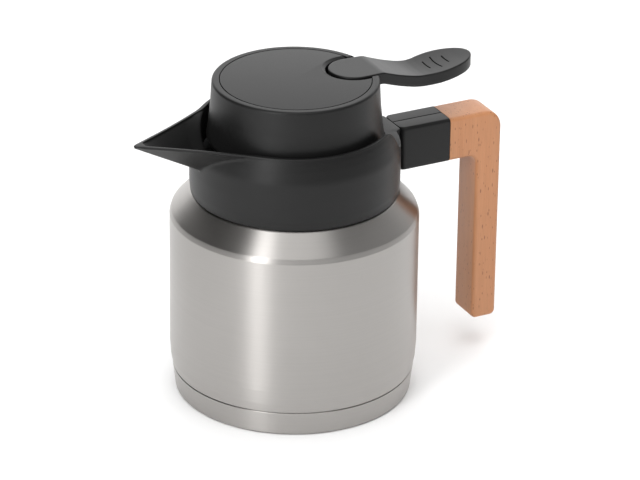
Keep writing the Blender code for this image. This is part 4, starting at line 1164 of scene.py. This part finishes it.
def surround(stage):
    """Dim studio surround with soft bright and dark patches, each round one direction."""
    world = bpy.data.worlds.new("studio_surround")
    world.use_nodes = True
    tree = world.node_tree
    place = add_node(tree, "ShaderNodeTexCoord")
    level = add_node(tree, "ShaderNodeValue")
    level.outputs[0].default_value = stage.base
    last = level.outputs[0]
    patches = (
        ((-0.20, -0.39, 0.90), 20.0, 34.0, stage.bright),      # softbox above the front
        ((0.41, 0.80, 0.44), 24.0, 48.0, stage.back),          # bright wall behind
        ((-0.60, 0.53, 0.60), 26.0, 46.0, stage.dark),         # black card on the left
    )
    for direction, inner, outer, strength in patches:
        towards = add_node(tree, "ShaderNodeVectorMath", {"operation": "DOT_PRODUCT"},
                           {1: Vector(direction).normalized()}, {0: place.outputs["Generated"]})
        share = add_node(tree, "ShaderNodeMapRange", {"interpolation_type": "SMOOTHSTEP"},
                         {"From Min": math.cos(math.radians(outer)), "From Max": math.cos(math.radians(inner))},
                         {"Value": towards.outputs["Value"]})
        mixed = add_node(tree, "ShaderNodeMix", {"data_type": "FLOAT"}, {3: strength},
                         {0: share.outputs["Result"], 2: last})
        last = mixed.outputs[0]
    back = tree.nodes["Background"]
    back.inputs["Color"].default_value = (1.0, 1.0, 1.0, 1.0)
    tree.links.new(last, back.inputs["Strength"])
    return world


class POT_OT_stage(bpy.types.Operator):
    """Set up the camera, the pale floor and the soft studio lights"""

    bl_idname = "pot.stage"
    bl_label = "Studio"

    def execute(self, context):
        stage = context.scene.pot_stage
        studio_camera(stage)
        floor = mesh_from("floor", [(-6000, -6000, -0.2), (6000, -6000, -0.2), (6000, 6000, -0.2),
                                    (-6000, 6000, -0.2)], [(0, 1, 2, 3)])
        paper, tree, shader = new_material("studio_paper", roughness=0.9, specular_ior_level=0.1)
        shader.inputs["Base Color"].default_value = linear("#F7F7F7")
        floor.data.materials.append(paper)
        context.scene.world = surround(stage)
        context.scene.view_settings.view_transform = "Standard"
        area_light("tall_strip", (-1.10, -0.69, 0.62), (0.0, 0.0, 0.08), 0.36, 1.25, stage.strip_power)
        fill = area_light("overhead_fill", (0.0, 0.0, 2.2), (0.0, 0.0, 0.0), 3.0, 3.0, stage.fill_power)
        fill.visible_glossy = False
        return {"FINISHED"}


# --------------------------------------------------------------------- panel
class POT_PT_panel(bpy.types.Panel):
    """The pot's settings and the steps that build it"""

    bl_label = "Coffee Pot"
    bl_idname = "POT_PT_panel"
    bl_space_type = "VIEW_3D"
    bl_region_type = "UI"
    bl_category = "Coffee Pot"

    def draw(self, context):
        layout = self.layout
        for group in (context.scene.pot_sizes, context.scene.pot_colours, context.scene.pot_stage):
            box = layout.box()
            for name in group.bl_rna.properties.keys():
                if name not in ("rna_type", "name"):
                    box.prop(group, name)
        for step in STEPS:
            layout.operator(step.bl_idname)


STEPS = (POT_OT_stage, POT_OT_steel, POT_OT_collar, POT_OT_arm, POT_OT_grip, POT_OT_lid, POT_OT_stopper,
         POT_OT_threads, POT_OT_screws, POT_OT_lever, POT_OT_hidden)
CLASSES = (PotSizes, PotColours, PotStage) + STEPS + (POT_PT_panel,)


def register():
    """Register the classes and hang the settings on the scene."""
    for item in CLASSES:
        bpy.utils.register_class(item)
    bpy.types.Scene.pot_sizes = PointerProperty(type=PotSizes)
    bpy.types.Scene.pot_colours = PointerProperty(type=PotColours)
    bpy.types.Scene.pot_stage = PointerProperty(type=PotStage)


def unregister():
    """Take the settings off the scene and unregister the classes."""
    del bpy.types.Scene.pot_stage
    del bpy.types.Scene.pot_colours
    del bpy.types.Scene.pot_sizes
    for item in reversed(CLASSES):
        bpy.utils.unregister_class(item)


def main():
    """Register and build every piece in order."""
    register()
    bpy.ops.pot.stage()
    bpy.ops.pot.steel()
    bpy.ops.pot.collar()
    bpy.ops.pot.arm()
    bpy.ops.pot.grip()
    bpy.ops.pot.lid()
    bpy.ops.pot.stopper()
    bpy.ops.pot.threads()
    bpy.ops.pot.screws()
    bpy.ops.pot.lever()
    bpy.ops.pot.hidden()


if __name__ == "__main__":
    main()
